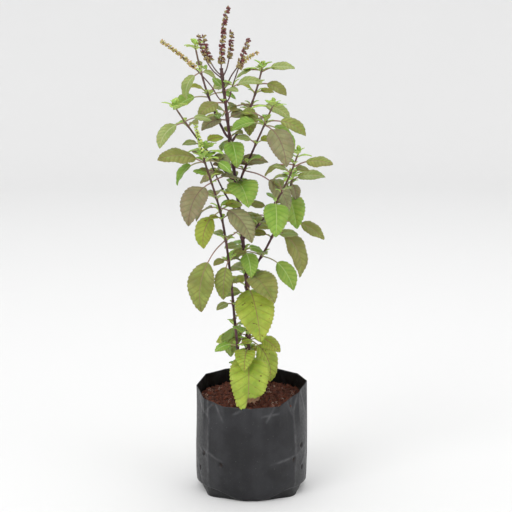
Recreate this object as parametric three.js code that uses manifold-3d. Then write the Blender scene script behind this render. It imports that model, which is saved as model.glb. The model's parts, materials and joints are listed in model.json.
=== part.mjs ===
// A potted holy basil: a black film grow bag, its potting mix and one bushy plant with
// opposite, drooping leaves and slender flower spikes. Millimetres, +Z up. The origin is the
// middle of the bag's flat foot, and the side that is seen first faces -Y.

import * as THREE from "three";
import { mergeVertices } from "three/addons/utils/BufferGeometryUtils.js";
import Module from "manifold-3d";

const wasm = await Module();
wasm.setup();

// ---------------------------------------------------------------- driving dimensions

const CLEARANCE = 0.3; // left between any two pieces that touch
const BAG_RADIUS = 64; // outside of the bag, half-way up
const BAG_FLARE = 2; // how much wider the bag is at its rim
const FOOT_TUCK = 14; // how far the foot is drawn in from the bag's side
const FRONT_RIM = 115; // height of the rim's lowest stretch, at the front
const FILM = 1.2; // thickness of the bag's wall and floor
const DRAIN_HOLE = 5; // diameter of a punched drain hole
const FREEBOARD = 3; // from the soil's level up to the front rim
const SOIL_GAP = 0.6; // between the soil and the bag
const SOIL_CRUMB = 1.4; // how far the soil's surface rises and falls
const ROOT_DEPTH = 50; // how far the two main stems reach into the soil
const ROOT_TIP = 0.35; // a taproot's radius at its tip, as a share of its stem's
const ROOT_LEAN = { main: 3, left: -6 }; // how far each taproot's tip strays sideways
const CROWN = 6; // how far a taproot reaches up into its stem
const PLANT_HEIGHT = 466; // from the soil to the tip of the tallest flower spike
const LEAF_THICKNESS = 1.2; // at the midrib
const PETIOLE = 1.4; // width of a leaf stalk
const SPIKE_STALK = 0.9; // radius of a flower spike's stalk
const WHORL_PITCH = 8; // from one ring of flowers to the next on a spike
const SPIKE_TAPER = 0.55; // how much smaller the last ring of flowers is than the first
const WHORL_WAIST = 0.45; // a spike's radius between two rings, as a share of the ring's
const SPIKE_TIP = 0.8; // radius at a spike's very end

const SOIL_LEVEL = FRONT_RIM - FREEBOARD;
const DRAWN_HEIGHT = 466; // the plant height at which the routes and leaves below are drawn
const GROWTH = PLANT_HEIGHT / DRAWN_HEIGHT;

// The rim stays low over a stretch at the front and climbs round both sides to its height at
// the back, sooner on the right than on the left. The film draws in at its four gussets.
const BACK_RISE = 17; // how far the rim's back stands above its front
const FRONT_STRETCH = 30; // degrees to either side of the front over which the rim stays low
const RIM_CLIMB = { right: 80, left: 130 }; // degrees from the front at which the climb ends
const GUSSETS = 4;
const GUSSET_PULL = 1; // how far the rim draws in at a gusset, and stands out between two

// Drain holes: the side they are on, in degrees from +X, and their height.
const DRAIN_HOLES = [
  { side: 212, height: 52 },
  { side: 203, height: 31 },
  { side: 237, height: 43 },
  { side: 332, height: 60 },
  { side: 318, height: 47 },
  { side: 334, height: 33 },
];

// Stems that rise from the soil follow a few points, [x, y, height above the soil]. A shoot leaves
// its parent at a height, heads off in degrees from +X, and ends `reach` out and `rise` up. Its
// `bow` is how far it swings out before it turns up; below 0 it rises first and then leans out.
// `radius` is at the start and at the end.
const STEMS = {
  main: {
    radius: [2.6, 1.5],
    route: [[-5, 0, 0], [-5, 0, 130], [-15, 5, 230], [-25, 0, 310], [-35, -5, 395]],
  },
  left: {
    radius: [1.7, 1.1],
    route: [[-10, -10, 0], [-20, -20, 100], [-25, -20, 155], [-35, -30, 225], [-55, -45, 295]],
  },
  right_low: { from: "main", at: 150, heading: 35, reach: 65, rise: 115, bow: 0.3, radius: [1.5, 1] },
  right: { from: "main", at: 195, heading: -35, reach: 75, rise: 105, bow: 0.3, radius: [1.5, 1] },
  right_inner: { from: "main", at: 260, heading: -35, reach: 50, rise: 95, bow: 0, radius: [1.5, 1] },
  right_high: { from: "main", at: 310, heading: 45, reach: 50, rise: 85, bow: 0.3, radius: [1.5, 1] },
  left_high: { from: "main", at: 315, heading: 135, reach: 55, rise: 105, bow: 0.3, radius: [1.5, 1] },
  left_far: { from: "main", at: 265, heading: -140, reach: 85, rise: 90, bow: 0.1, radius: [1.5, 1] },
  left_inner: { from: "main", at: 225, heading: -135, reach: 50, rise: 80, bow: 0.2, radius: [1.2, 0.8] },
};

// Flower spikes grow as shoots do, and carry rings of flowers from their `bare` height upward. A
// spike with no `at` carries on from its parent's end.
const SPIKES = {
  main: { from: "main", heading: 10, reach: 10, rise: 70, bow: -0.8, radius: 4.6, bare: 397 },
  centre: { from: "main", at: 386, heading: 65, reach: 22, rise: 50, bow: 0.6, radius: 3.8, bare: 398 },
  right: { from: "main", at: 357, heading: -35, reach: 30, rise: 72, bow: 0, radius: 4.2, bare: 392 },
  right_thin: { from: "main", at: 374, heading: 5, reach: 38, rise: 40, bow: -0.4, radius: 2.4, bare: 396 },
  left: { from: "main", at: 388, heading: -135, reach: 26, rise: 45, bow: 0.5, radius: 4, bare: 398 },
  left_back: { from: "main", at: 384, heading: 135, reach: 38, rise: 50, bow: 0.5, radius: 3, bare: 400 },
  left_low: { from: "main", at: 356, heading: -145, reach: 85, rise: 72, bow: -0.2, radius: 2.8, bare: 394 },
  left_young: { from: "left", heading: -140, reach: 12, rise: 40, bow: 0, radius: 2.8, bare: 300 },
};

// How a leaf is held: its slope in degrees where it leaves the stem, and at its tip. Old, heavy
// leaves hang and young ones spread.
const HABITS = { spread: [30, -20], arch: [10, -50], droop: [-5, -80], hang: [-25, -105] };

// Width of a blade as a share of its length, by tone: the shaded, greener leaves are broader.
const BREADTH = { lime: 0.62, green: 0.6, olive: 0.54, purple: 0.54, pale: 0.5 };

const FACING = 40; // degrees by which a leaf at the plant's side turns its face to the light in front
const SIDESTEP = 10; // degrees by which a leaf shifts, as often as needed, to grow clear of others

// Leaves: name, stem, height above the soil, heading, length of stalk and blade, habit, tone.
const LEAVES = [
  ["front_largest", "main", 55, -90, 10, 75, "droop", "lime"],
  ["low_big_lime", "main", 135, -75, 10, 75, "droop", "lime"],
  ["centre_big", "main", 260, -75, 5, 60, "arch", "green"],
  ["mid_olive", "main", 150, -60, 10, 60, "arch", "olive"],
  ["low_left_big", "left", 90, 105, 5, 45, "hang", "green"],
  ["low_right", "main", 70, -15, 10, 50, "hang", "lime"],
  ["low_front_small", "main", 60, -105, 10, 40, "arch", "lime"],
  ["low_right_small", "main", 75, -30, 15, 30, "arch", "lime"],
  ["left_brownish", "left", 170, -105, 10, 40, "hang", "olive"],
  ["left_hanging", "left", 195, -135, 35, 60, "hang", "olive"],
  ["left_lime", "left", 230, -150, 10, 40, "hang", "lime"],
  ["left_purple", "left", 265, -120, 15, 55, "droop", "purple"],
  ["inner_purple", "left", 235, -30, 10, 50, "droop", "purple"],
  ["main_centre_low", "main", 180, -75, 10, 35, "droop", "green"],
  ["left_top_front", "left", 290, -150, 10, 50, "spread", "olive"],
  ["left_top_hanging", "left", 290, 165, 15, 30, "droop", "green"],
  ["right_low_hanging", "right_low", 200, 0, 10, 60, "hang", "olive"],
  ["right_low_first", "right_low", 170, -30, 20, 40, "droop", "green"],
  ["right_low_far", "right_low", 210, -15, 25, 35, "arch", "olive"],
  ["right_low_bright", "right_low", 240, -75, 5, 50, "droop", "green"],
  ["right_low_top", "right_low", 260, -15, 5, 35, "spread", "pale"],
  ["right_low_purple", "right_low", 255, -75, 5, 25, "droop", "purple"],
  ["right_front", "right", 240, -90, 5, 50, "droop", "green"],
  ["right_top_outer", "right", 285, -30, 15, 35, "spread", "olive"],
  ["right_inner_long", "right_inner", 275, -15, 30, 45, "droop", "purple"],
  ["right_inner_hanging", "right_inner", 330, -60, 15, 55, "droop", "purple"],
  ["right_inner_arched", "right_inner", 330, 15, 10, 40, "droop", "green"],
  ["right_inner_high", "right_inner", 335, -15, 15, 35, "arch", "olive"],
  ["right_high_olive", "right_high", 345, -90, 5, 40, "droop", "olive"],
  ["right_high_side", "right_high", 350, -15, 15, 35, "arch", "pale"],
  ["right_high_low", "right_high", 375, -30, 10, 30, "arch", "olive"],
  ["right_high_far", "right_high", 390, -15, 10, 30, "spread", "pale"],
  ["left_high_side", "left_high", 360, -165, 15, 30, "arch", "green"],
  ["main_olive", "main", 355, -135, 10, 35, "arch", "olive"],
  ["main_left", "main", 335, -150, 5, 30, "arch", "purple"],
  ["main_node_round", "main", 310, -75, 5, 40, "droop", "green"],
  ["main_purple", "main", 280, 0, 5, 35, "spread", "purple"],
  ["inner_brown", "left_inner", 295, -30, 5, 25, "arch", "purple"],
  ["far_left_big", "left_far", 335, -150, 10, 35, "droop", "pale"],
  ["top_big_purple", "spike_right", 375, -15, 5, 30, "spread", "pale"],
  ["top_left_purple", "spike_left_low", 390, -165, 5, 30, "hang", "pale"],
];

// ---------------------------------------------------------------- shapes

// A closed solid through rings of points. Each ring turns anticlockwise about the way forward.
function loft(rings) {
  const positions = [];
  const face = (a, b, c) => positions.push(a.x, a.y, a.z, b.x, b.y, b.z, c.x, c.y, c.z);
  const first = rings[0];
  const last = rings[rings.length - 1];
  const sides = first.length;
  for (let k = 1; k < sides - 1; k++) {
    face(first[0], first[k + 1], first[k]);
    face(last[0], last[k], last[k + 1]);
  }
  for (let r = 0; r + 1 < rings.length; r++) {
    for (let k = 0; k < sides; k++) {
      const next = (k + 1) % sides;
      face(rings[r][k], rings[r][next], rings[r + 1][next]);
      face(rings[r][k], rings[r + 1][next], rings[r + 1][k]);
    }
  }
  const geometry = new THREE.BufferGeometry();
  geometry.setAttribute("position", new THREE.Float32BufferAttribute(positions, 3));
  return geometry;
}

function toSolid(geometry) {
  const bare = geometry.clone();
  bare.deleteAttribute("normal");
  bare.deleteAttribute("uv");
  const merged = mergeVertices(bare, 1e-4);
  const vertProperties = merged.attributes.position.array;
  const triVerts = new Uint32Array(merged.index.array);
  return new wasm.Manifold(new wasm.Mesh({ numProp: 3, vertProperties, triVerts }));
}

function toGeometry(solid) {
  const { vertProperties, triVerts } = solid.getMesh();
  const geometry = new THREE.BufferGeometry();
  geometry.setAttribute("position", new THREE.BufferAttribute(vertProperties, 3));
  geometry.setIndex(new THREE.BufferAttribute(triVerts, 1));
  return geometry;
}

function cutFrom(geometry, cutters) {
  let solid = toSolid(geometry);
  for (const cutter of cutters) solid = solid.subtract(toSolid(cutter));
  return toGeometry(solid);
}

const growPoint = ([x, y, h]) => new THREE.Vector3(x * GROWTH, y * GROWTH, SOIL_LEVEL + h * GROWTH);

// ---------------------------------------------------------------- grow bag and potting mix

const BAG_SIDES = 36;
const FOOT_CURVE = 24; // height over which the side rounds in to the foot
const FOOT_LEVELS = [0, 4, 11, FOOT_CURVE];
const LEAN_START = 0.6; // the share of the rim's height above which the side leans

const FRONT = -90; // the heading of the bag's front
const FOOT_SHARPNESS = 2.2; // above 1, the side turns in to the foot late and sharply

function rimHeight(angle) {
  const fromFront = THREE.MathUtils.euclideanModulo(THREE.MathUtils.radToDeg(angle) - FRONT + 180, 360) - 180;
  const climb = fromFront > 0 ? RIM_CLIMB.right : RIM_CLIMB.left;
  return FRONT_RIM + BACK_RISE * THREE.MathUtils.smoothstep(Math.abs(fromFront), FRONT_STRETCH, climb);
}

// Outside radius of the bag at an angle and at a height given as a share of the rim's.
function bagRadius(angle, height) {
  const share = height / rimHeight(angle);
  const upper = Math.max(0, (share - LEAN_START) / (1 - LEAN_START));
  const lean = GUSSET_PULL * Math.cos(GUSSETS * angle) * upper;
  const rounding = Math.max(0, 1 - height / FOOT_CURVE);
  return BAG_RADIUS + BAG_FLARE * share + lean - FOOT_TUCK * rounding ** FOOT_SHARPNESS;
}

function bagRing(inset, heightAt) {
  return Array.from({ length: BAG_SIDES }, (_, k) => {
    const angle = (2 * Math.PI * k) / BAG_SIDES;
    const height = heightAt(angle);
    const radius = bagRadius(angle, height) - inset;
    return new THREE.Vector3(radius * Math.cos(angle), radius * Math.sin(angle), height);
  });
}

function drainHole({ side, height }) {
  const angle = THREE.MathUtils.degToRad(side);
  const reach = 12;
  const hole = new THREE.CylinderGeometry(DRAIN_HOLE / 2, DRAIN_HOLE / 2, reach, 8);
  hole.rotateZ(Math.PI / 2);
  hole.translate(BAG_RADIUS, 0, 0);
  hole.rotateZ(angle);
  hole.translate(0, 0, height);
  return hole;
}

function growBag() {
  const rings = FOOT_LEVELS.map((level) => bagRing(0, () => level));
  for (const share of [LEAN_START, 1]) {
    rings.push(bagRing(0, (angle) => share * rimHeight(angle)));
  }
  for (const share of [1, LEAN_START]) {
    rings.push(bagRing(FILM, (angle) => share * rimHeight(angle)));
  }
  for (const level of FOOT_LEVELS.slice(1).toReversed()) rings.push(bagRing(FILM, () => level));
  rings.push(bagRing(FILM, () => FILM));
  return cutFrom(loft(rings), DRAIN_HOLES.map(drainHole));
}

function soilSurface(angle, share) {
  const lumps = Math.sin(5 * angle + 9 * share) + Math.cos(7 * angle - 13 * share);
  return SOIL_LEVEL + (SOIL_CRUMB / 2) * lumps * (1 - share ** 6) - CLEARANCE * share;
}

function pottingMix() {
  const inset = FILM + SOIL_GAP;
  const floor = bagRing(inset, () => FILM);
  const rings = [floor.map((point) => point.setZ(inset))];
  for (const level of FOOT_LEVELS.slice(1)) rings.push(bagRing(inset, () => level));
  rings.push(bagRing(inset, (angle) => LEAN_START * rimHeight(angle)));
  const outer = bagRing(inset, () => SOIL_LEVEL - CLEARANCE);
  for (const share of [1, 0.82, 0.6, 0.38, 0.16]) {
    rings.push(
      outer.map((point) => {
        const angle = Math.atan2(point.y, point.x);
        return new THREE.Vector3(point.x * share, point.y * share, soilSurface(angle, share));
      }),
    );
  }
  const holes = ["main", "left"].map((name) => taproot(name, CLEARANCE));
  return cutFrom(loft(rings), holes);
}

// ---------------------------------------------------------------- stems

const STEM_SIDES = 6;
const STEM_STEP = 15;

const stemCurves = {};

function pointAtHeight(curve, height) {
  let low = 0;
  let high = 1;
  const target = SOIL_LEVEL + height * GROWTH;
  for (let i = 0; i < 30; i++) {
    const middle = (low + high) / 2;
    if (curve.getPoint(middle).z < target) low = middle;
    else high = middle;
  }
  return { share: low, point: curve.getPoint(low) };
}

const mix = ([from, to], share) => from + (to - from) * share;

function stemRadiusAt(name, height) {
  const { share } = pointAtHeight(stemCurves[name], height);
  const radii = name in STEMS ? STEMS[name].radius : [SPIKE_STALK, SPIKE_STALK];
  return mix(radii, share) * GROWTH;
}

// The curve of a stem or spike. A shoot starts just clear of the stem that carries it.
function shootCurve(shoot, startRadius) {
  if (shoot.route) return new THREE.CatmullRomCurve3(shoot.route.map(growPoint), false, "centripetal");
  const parent = stemCurves[shoot.from];
  const turn = THREE.MathUtils.degToRad(shoot.heading);
  const out = new THREE.Vector3(Math.cos(turn), Math.sin(turn), 0);
  let start = parent.getPoint(1).addScaledVector(parent.getTangent(1), CLEARANCE);
  if (shoot.at) {
    const gap = stemRadiusAt(shoot.from, shoot.at) + startRadius * GROWTH + 2 * CLEARANCE;
    start = pointAtHeight(parent, shoot.at).point.addScaledVector(out, gap);
  }
  const grown = (outShare, upShare) =>
    start
      .clone()
      .addScaledVector(out, shoot.reach * outShare * GROWTH)
      .setZ(start.z + shoot.rise * upShare * GROWTH);
  const elbow = grown((1 + shoot.bow) / 2, (1 - shoot.bow) / 2);
  return new THREE.QuadraticBezierCurve3(start, elbow, grown(1, 1));
}

// Rings of `sides` points round a curve, with the radius given at each share of its length.
function tubeRings(curve, shares, radiusAt, sides = STEM_SIDES) {
  let across = new THREE.Vector3(1, 0, 0);
  return shares.map((share) => {
    const centre = curve.getPointAt(share);
    const forward = curve.getTangentAt(share);
    across = across.clone().addScaledVector(forward, -across.dot(forward)).normalize();
    const upward = new THREE.Vector3().crossVectors(forward, across);
    return Array.from({ length: sides }, (_, k) => {
      const angle = (2 * Math.PI * k) / sides;
      return centre
        .clone()
        .addScaledVector(across, radiusAt(share) * Math.cos(angle))
        .addScaledVector(upward, radiusAt(share) * Math.sin(angle));
    });
  });
}

const evenShares = (steps) => Array.from({ length: steps + 1 }, (_, k) => k / steps);

function taproot(name, spare) {
  const { route, radius } = STEMS[name];
  const top = growPoint(route[0]);
  const lean = ROOT_LEAN[name];
  const crown = top.clone().setZ(top.z + CROWN * GROWTH + spare * 10);
  const tip = top.clone().add(new THREE.Vector3(lean, -lean / 2, -ROOT_DEPTH - spare));
  const middle = top.clone().add(new THREE.Vector3(lean / 4, 0.8, -ROOT_DEPTH / 2));
  const curve = new THREE.CatmullRomCurve3([tip, middle, top, crown]);
  const swell = (share) => ROOT_TIP + (1 - ROOT_TIP) * Math.min(1, share * 1.3);
  const radiusAt = (share) => swell(share) * radius[0] * GROWTH + spare;
  return loft(tubeRings(curve, [0, 0.3, 0.6, 0.9, 1], radiusAt));
}

function stem(name) {
  const shoot = STEMS[name];
  const curve = stemCurves[name];
  const steps = Math.round(curve.getLength() / STEM_STEP);
  const radiusAt = (share) => mix(shoot.radius, share) * GROWTH;
  const geometry = loft(tubeRings(curve, evenShares(steps), radiusAt));
  if (shoot.from) return geometry;
  return toGeometry(toSolid(geometry).add(toSolid(taproot(name, 0))));
}

// ---------------------------------------------------------------- flower spikes

// A thin stalk that swells at each ring of flowers, less and less towards its tip.
function flowerSpike(name) {
  const spike = SPIKES[name];
  const curve = stemCurves[`spike_${name}`];
  const length = curve.getLength();
  const start = Math.max(0.02, pointAtHeight(curve, spike.bare).share);
  const whorls = Math.max(3, Math.round((length * (1 - start)) / (WHORL_PITCH * GROWTH)));
  const span = (1 - start) / whorls;
  const shares = start * length > 12 ? [0, start / 2, start] : [0, start];
  const radii = shares.map(() => SPIKE_STALK);
  for (let k = 0; k < whorls; k++) {
    const size = spike.radius * (1 - SPIKE_TAPER * (k / whorls));
    shares.push(start + span * (k + 0.45), start + span * (k + 0.98));
    radii.push(size, k === whorls - 1 ? SPIKE_TIP : size * WHORL_WAIST);
  }
  const radiusAt = (share) => radii[shares.indexOf(share)] * GROWTH;
  return loft(tubeRings(curve, shares, radiusAt));
}

// ---------------------------------------------------------------- leaves

// Half-width of the blade as a share of its widest, from its base (0) to its tip (1).
const bladeOutline = (along) => Math.sin(Math.PI * along ** 0.8) ** 0.75;
const BLADE_STATIONS = [0.12, 0.35, 0.6, 0.82];
const BLADE_FOLD = 0.12; // how far the two halves rise from the midrib, as a slope

// One leaf as a thin solid of four-point sections: its stalk leaves the stem at `height`, turned
// `aside` degrees from its heading, and bends evenly from its habit's first slope to its second.
function leaf([, from, height, heading, stalk, blade, habit, tone], aside) {
  const [rise, fall] = HABITS[habit];
  const width = blade * BREADTH[tone];
  const turn = THREE.MathUtils.degToRad(heading + aside);
  const ahead = new THREE.Vector3(Math.cos(turn), Math.sin(turn), 0);
  const up = new THREE.Vector3(0, 0, 1);
  const length = (stalk + blade) * GROWTH;
  const stalkShare = stalk / (stalk + blade);
  const stations = [0, stalkShare / 2, stalkShare];
  for (const along of [...BLADE_STATIONS, 1]) stations.push(mix([stalkShare, 1], along));
  const gap = stemRadiusAt(from, height) + CLEARANCE + PETIOLE * 0.75 * GROWTH;
  const point = pointAtHeight(stemCurves[from], height).point.addScaledVector(ahead, gap);
  const rollAngle = THREE.MathUtils.degToRad(FACING * Math.cos(turn));
  const SUBSTEPS = 6;
  let walked = 0;
  return loft(
    stations.map((station) => {
      const step = (station - walked) / SUBSTEPS;
      for (let k = 0; k < SUBSTEPS; k++) {
        const slope = THREE.MathUtils.degToRad(mix([rise, fall], walked + step / 2));
        point.addScaledVector(ahead, Math.cos(slope) * step * length);
        point.addScaledVector(up, Math.sin(slope) * step * length);
        walked += step;
      }
      const slope = THREE.MathUtils.degToRad(mix([rise, fall], station));
      const forward = ahead.clone().multiplyScalar(Math.cos(slope)).addScaledVector(up, Math.sin(slope));
      const flatTop = ahead.clone().multiplyScalar(-Math.sin(slope)).addScaledVector(up, Math.cos(slope));
      const top = flatTop.applyAxisAngle(forward, rollAngle);
      const side = new THREE.Vector3().crossVectors(top, forward);
      const along = (station - stalkShare) / (1 - stalkShare);
      const onBlade = along > 0.01 && along < 0.99;
      const half = onBlade ? (bladeOutline(along) * width) / 2 : PETIOLE / 2;
      const tip = along >= 0.99 ? 0.5 : 1;
      const fold = onBlade ? BLADE_FOLD * half : 0;
      const corner = (across, raise) =>
        point
          .clone()
          .addScaledVector(side, across * GROWTH * tip)
          .addScaledVector(top, raise * GROWTH * tip);
      return [
        corner(half, fold),
        corner(0, LEAF_THICKNESS * 0.35),
        corner(-half, fold),
        corner(0, -LEAF_THICKNESS * 0.65),
      ];
    }),
  );
}

const placed = []; // every solid so far, with its bounding box

function place(geometry) {
  const solid = toSolid(geometry);
  placed.push({ solid, box: solid.boundingBox() });
}

const TOUCH = 1e-4; // a shared volume that counts as a clash, in cubic millimetres

function clashes(geometry) {
  const solid = toSolid(geometry);
  const box = solid.boundingBox();
  return placed.some(
    (other) =>
      [0, 1, 2].every((axis) => box.min[axis] < other.box.max[axis] && other.box.min[axis] < box.max[axis]) &&
      solid.intersect(other.solid).volume() > TOUCH,
  );
}

// The leaf at its own heading or, where others are in its way, turned aside by the fewest steps.
function clearLeaf(spec) {
  for (let step = 0; step * SIDESTEP <= 180; step++) {
    for (const side of step ? [1, -1] : [1]) {
      const geometry = leaf(spec, side * step * SIDESTEP);
      if (!clashes(geometry)) return geometry;
    }
  }
  throw new Error(`leaf ${spec[0]} has no room to grow`);
}

// ---------------------------------------------------------------- assembly

const finish = (color, roughness) => new THREE.MeshStandardMaterial({ color, roughness, metalness: 0 });
const FINISHES = {
  film: finish(0x2b2b2f, 0.45),
  soil: finish(0x6b3620, 0.95),
  stem: finish(0x4a2030, 0.6),
  flower: finish(0x74454a, 0.8),
  lime: finish(0x96b93c, 0.55),
  green: finish(0x7fae45, 0.55),
  olive: finish(0x7d8c46, 0.6),
  purple: finish(0x85786f, 0.65),
  pale: finish(0xa3a583, 0.65),
};

const plant = new THREE.Group();

function addPiece(name, geometry, material) {
  place(geometry);
  const mesh = new THREE.Mesh(geometry, material);
  mesh.name = name;
  plant.add(mesh);
}

for (const [name, shoot] of Object.entries(STEMS)) {
  stemCurves[name] = shootCurve(shoot, shoot.radius[0]);
}
for (const [name, spike] of Object.entries(SPIKES)) {
  stemCurves[`spike_${name}`] = shootCurve(spike, SPIKE_STALK);
}

addPiece("grow_bag", growBag(), FINISHES.film);
addPiece("potting_mix", pottingMix(), FINISHES.soil);
for (const name of Object.keys(STEMS)) addPiece(`stem_${name}`, stem(name), FINISHES.stem);
for (const name of Object.keys(SPIKES)) {
  addPiece(`flower_spike_${name}`, flowerSpike(name), FINISHES.flower);
}
for (const spec of LEAVES) addPiece(`leaf_${spec[0]}`, clearLeaf(spec), FINISHES[spec.at(-1)]);

export default plant;
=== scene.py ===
"""A potted holy basil: a black film grow bag of cocopeat and one bushy, flowering plant.

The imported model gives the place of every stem, leaf and spike. This script reads their spines
and grows the fine surfaces round them, in metres, with each piece's place in its mesh.
"""

import json
import logging
import math
from dataclasses import dataclass, field
from enum import Enum

import bmesh
import bpy
import numpy as np
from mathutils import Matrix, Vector


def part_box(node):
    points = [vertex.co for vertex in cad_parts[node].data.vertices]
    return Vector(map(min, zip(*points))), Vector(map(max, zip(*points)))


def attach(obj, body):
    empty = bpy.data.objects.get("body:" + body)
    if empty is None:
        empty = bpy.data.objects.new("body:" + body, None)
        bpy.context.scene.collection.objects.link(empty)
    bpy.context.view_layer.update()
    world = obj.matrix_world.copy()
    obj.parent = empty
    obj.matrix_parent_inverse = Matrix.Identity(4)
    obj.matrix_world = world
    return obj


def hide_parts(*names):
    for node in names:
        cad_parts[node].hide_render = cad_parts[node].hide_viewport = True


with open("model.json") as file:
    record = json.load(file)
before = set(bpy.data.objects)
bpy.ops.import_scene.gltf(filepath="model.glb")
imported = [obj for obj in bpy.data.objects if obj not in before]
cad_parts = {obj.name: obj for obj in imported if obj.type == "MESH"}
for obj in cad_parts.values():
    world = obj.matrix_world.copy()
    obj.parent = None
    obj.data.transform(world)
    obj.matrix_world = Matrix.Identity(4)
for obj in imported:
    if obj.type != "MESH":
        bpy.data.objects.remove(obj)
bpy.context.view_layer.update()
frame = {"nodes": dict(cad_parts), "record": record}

log = logging.getLogger("holy_basil")

MM = 0.001
BODY = "root"
Array = np.ndarray
Colour = tuple[float, float, float, float]
Socket = bpy.types.NodeSocket
Feed = Socket | float | tuple[float, ...]


# ------------------------------------------------------------------ numbers and colours


def srgb(red: int, green: int, blue: int) -> Colour:
    """Turn screen values from 0 to 255 into a linear colour."""
    def channel(value: int) -> float:
        """One channel, linear."""
        share = value / 255
        return share / 12.92 if share <= 0.04045 else ((share + 0.055) / 1.055) ** 2.4
    return (channel(red), channel(green), channel(blue), 1.0)


def smooth(value: Array | float, start: float, end: float) -> Array:
    """Rise smoothly from 0 at start to 1 at end."""
    share = np.clip((np.asarray(value, float) - start) / (end - start), 0, 1)
    return share * share * (3 - 2 * share)


def unit(vectors: Array) -> Array:
    """Scale each row to length one."""
    return vectors / np.maximum(np.linalg.norm(vectors, axis=-1, keepdims=True), 1e-12)


def level(heading: float) -> Array:
    """The level direction at a heading in degrees from +X."""
    turn = math.radians(heading)
    return np.array([math.cos(turn), math.sin(turn), 0.0])


def through(points: Array, shares: Array) -> tuple[Array, Array]:
    """Run a smooth curve through points.

    Args:
        points: The points, one row each.
        shares: Places along the curve from 0 to 1, by length between the points.

    Returns:
        The places and their unit tangents.
    """
    steps = np.linalg.norm(np.diff(points, axis=0), axis=1)
    knots = np.concatenate([[0], np.cumsum(steps)])
    slopes = np.gradient(points, knots, axis=0)
    at = np.clip(shares, 0, 1) * knots[-1]
    index = np.clip(np.searchsorted(knots, at, side="right") - 1, 0, len(steps) - 1)
    width = steps[index][:, None]
    t = ((at - knots[index])[:, None]) / width
    start, end = points[index], points[index + 1]
    leave, arrive = slopes[index] * width, slopes[index + 1] * width
    place = (
        (2 * t**3 - 3 * t**2 + 1) * start + (t**3 - 2 * t**2 + t) * leave
        + (3 * t**2 - 2 * t**3) * end + (t**3 - t**2) * arrive
    )
    tangent = (
        (6 * t**2 - 6 * t) * start + (3 * t**2 - 4 * t + 1) * leave
        + (6 * t - 6 * t**2) * end + (3 * t**2 - 2 * t) * arrive
    )
    return place, unit(tangent)


def run_of(points: Array) -> tuple[Array, float]:
    """Each point's share of the way along a line of points, and the line's length."""
    steps = np.linalg.norm(np.diff(points, axis=0), axis=1)
    return np.concatenate([[0], np.cumsum(steps)]) / steps.sum(), float(steps.sum())


def turned_from(angles: Array | float, start: float) -> Array:
    """Degrees from a start to each angle, from -180 to 180."""
    return (np.asarray(angles, float) - start + 180) % 360 - 180


def between(shares: Array, knots: Array, rows: Array) -> Array:
    """Interpolate rows that belong to knots, at other shares."""
    return np.stack([np.interp(shares, knots, rows[:, k]) for k in range(rows.shape[1])], axis=1)


# ------------------------------------------------------------------ meshes


class Draft:
    """A mesh being drawn: points, faces and named values on the points."""

    def __init__(self) -> None:
        """Start empty."""
        self.points: list[Array] = []
        self.faces: list[list[int]] = []
        self.marks: dict[str, list[Array]] = {}
        self.count = 0

    def add(self, points: Array, faces: list[list[int]], **marks: Array | float) -> None:
        """Add a closed surface.

        Args:
            points: Its points, one row each.
            faces: Its faces as indices into points, anticlockwise from outside.
            **marks: Values for each point, or one value for all of them.
        """
        for name in set(self.marks) | set(marks):
            row = self.marks.setdefault(name, [np.zeros(self.count)] if self.count else [])
            value = marks.get(name, 0.0)
            row.append(np.broadcast_to(np.asarray(value, float), (len(points),)))
        self.points.append(points)
        self.faces += [[index + self.count for index in face] for face in faces]
        self.count += len(points)

    def piece(self, name: str, material: bpy.types.Material) -> bpy.types.Object:
        """Make the drawn mesh an object with smooth faces."""
        mesh = bpy.data.meshes.new(name)
        mesh.from_pydata(np.concatenate(self.points).tolist(), [], self.faces)
        for mark, rows in self.marks.items():
            layer = mesh.attributes.new(mark, "FLOAT", "POINT")
            layer.data.foreach_set("value", np.concatenate(rows).astype(np.float32))
        mesh.materials.append(material)
        mesh.update()
        mesh.shade_smooth()
        made = bpy.data.objects.new(name, mesh)
        bpy.context.scene.collection.objects.link(made)
        return made


def wrap_faces(rows: int, columns: int, first: int = 0) -> list[list[int]]:
    """Faces of a tube of rows, each a closed ring of columns, without its ends."""
    faces = []
    for r in range(rows - 1):
        for c in range(columns):
            here, beside = first + r * columns + c, first + r * columns + (c + 1) % columns
            faces.append([here, beside, beside + columns, here + columns])
    return faces


def add_tube(draft: Draft, rings: Array, **marks: Array | float) -> None:
    """Add a closed tube.

    Args:
        draft: The mesh to add it to.
        rings: Rings of points, rows by columns by 3, anticlockwise about the way forward.
        **marks: Values for each ring, or one value.
    """
    rows, columns = rings.shape[:2]
    faces = wrap_faces(rows, columns)
    faces.append(list(range(columns))[::-1])
    faces.append([(rows - 1) * columns + c for c in range(columns)])
    spread = {
        name: np.repeat(value, columns) if np.ndim(value) else value for name, value in marks.items()
    }
    draft.add(rings.reshape(-1, 3), faces, **spread)


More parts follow.
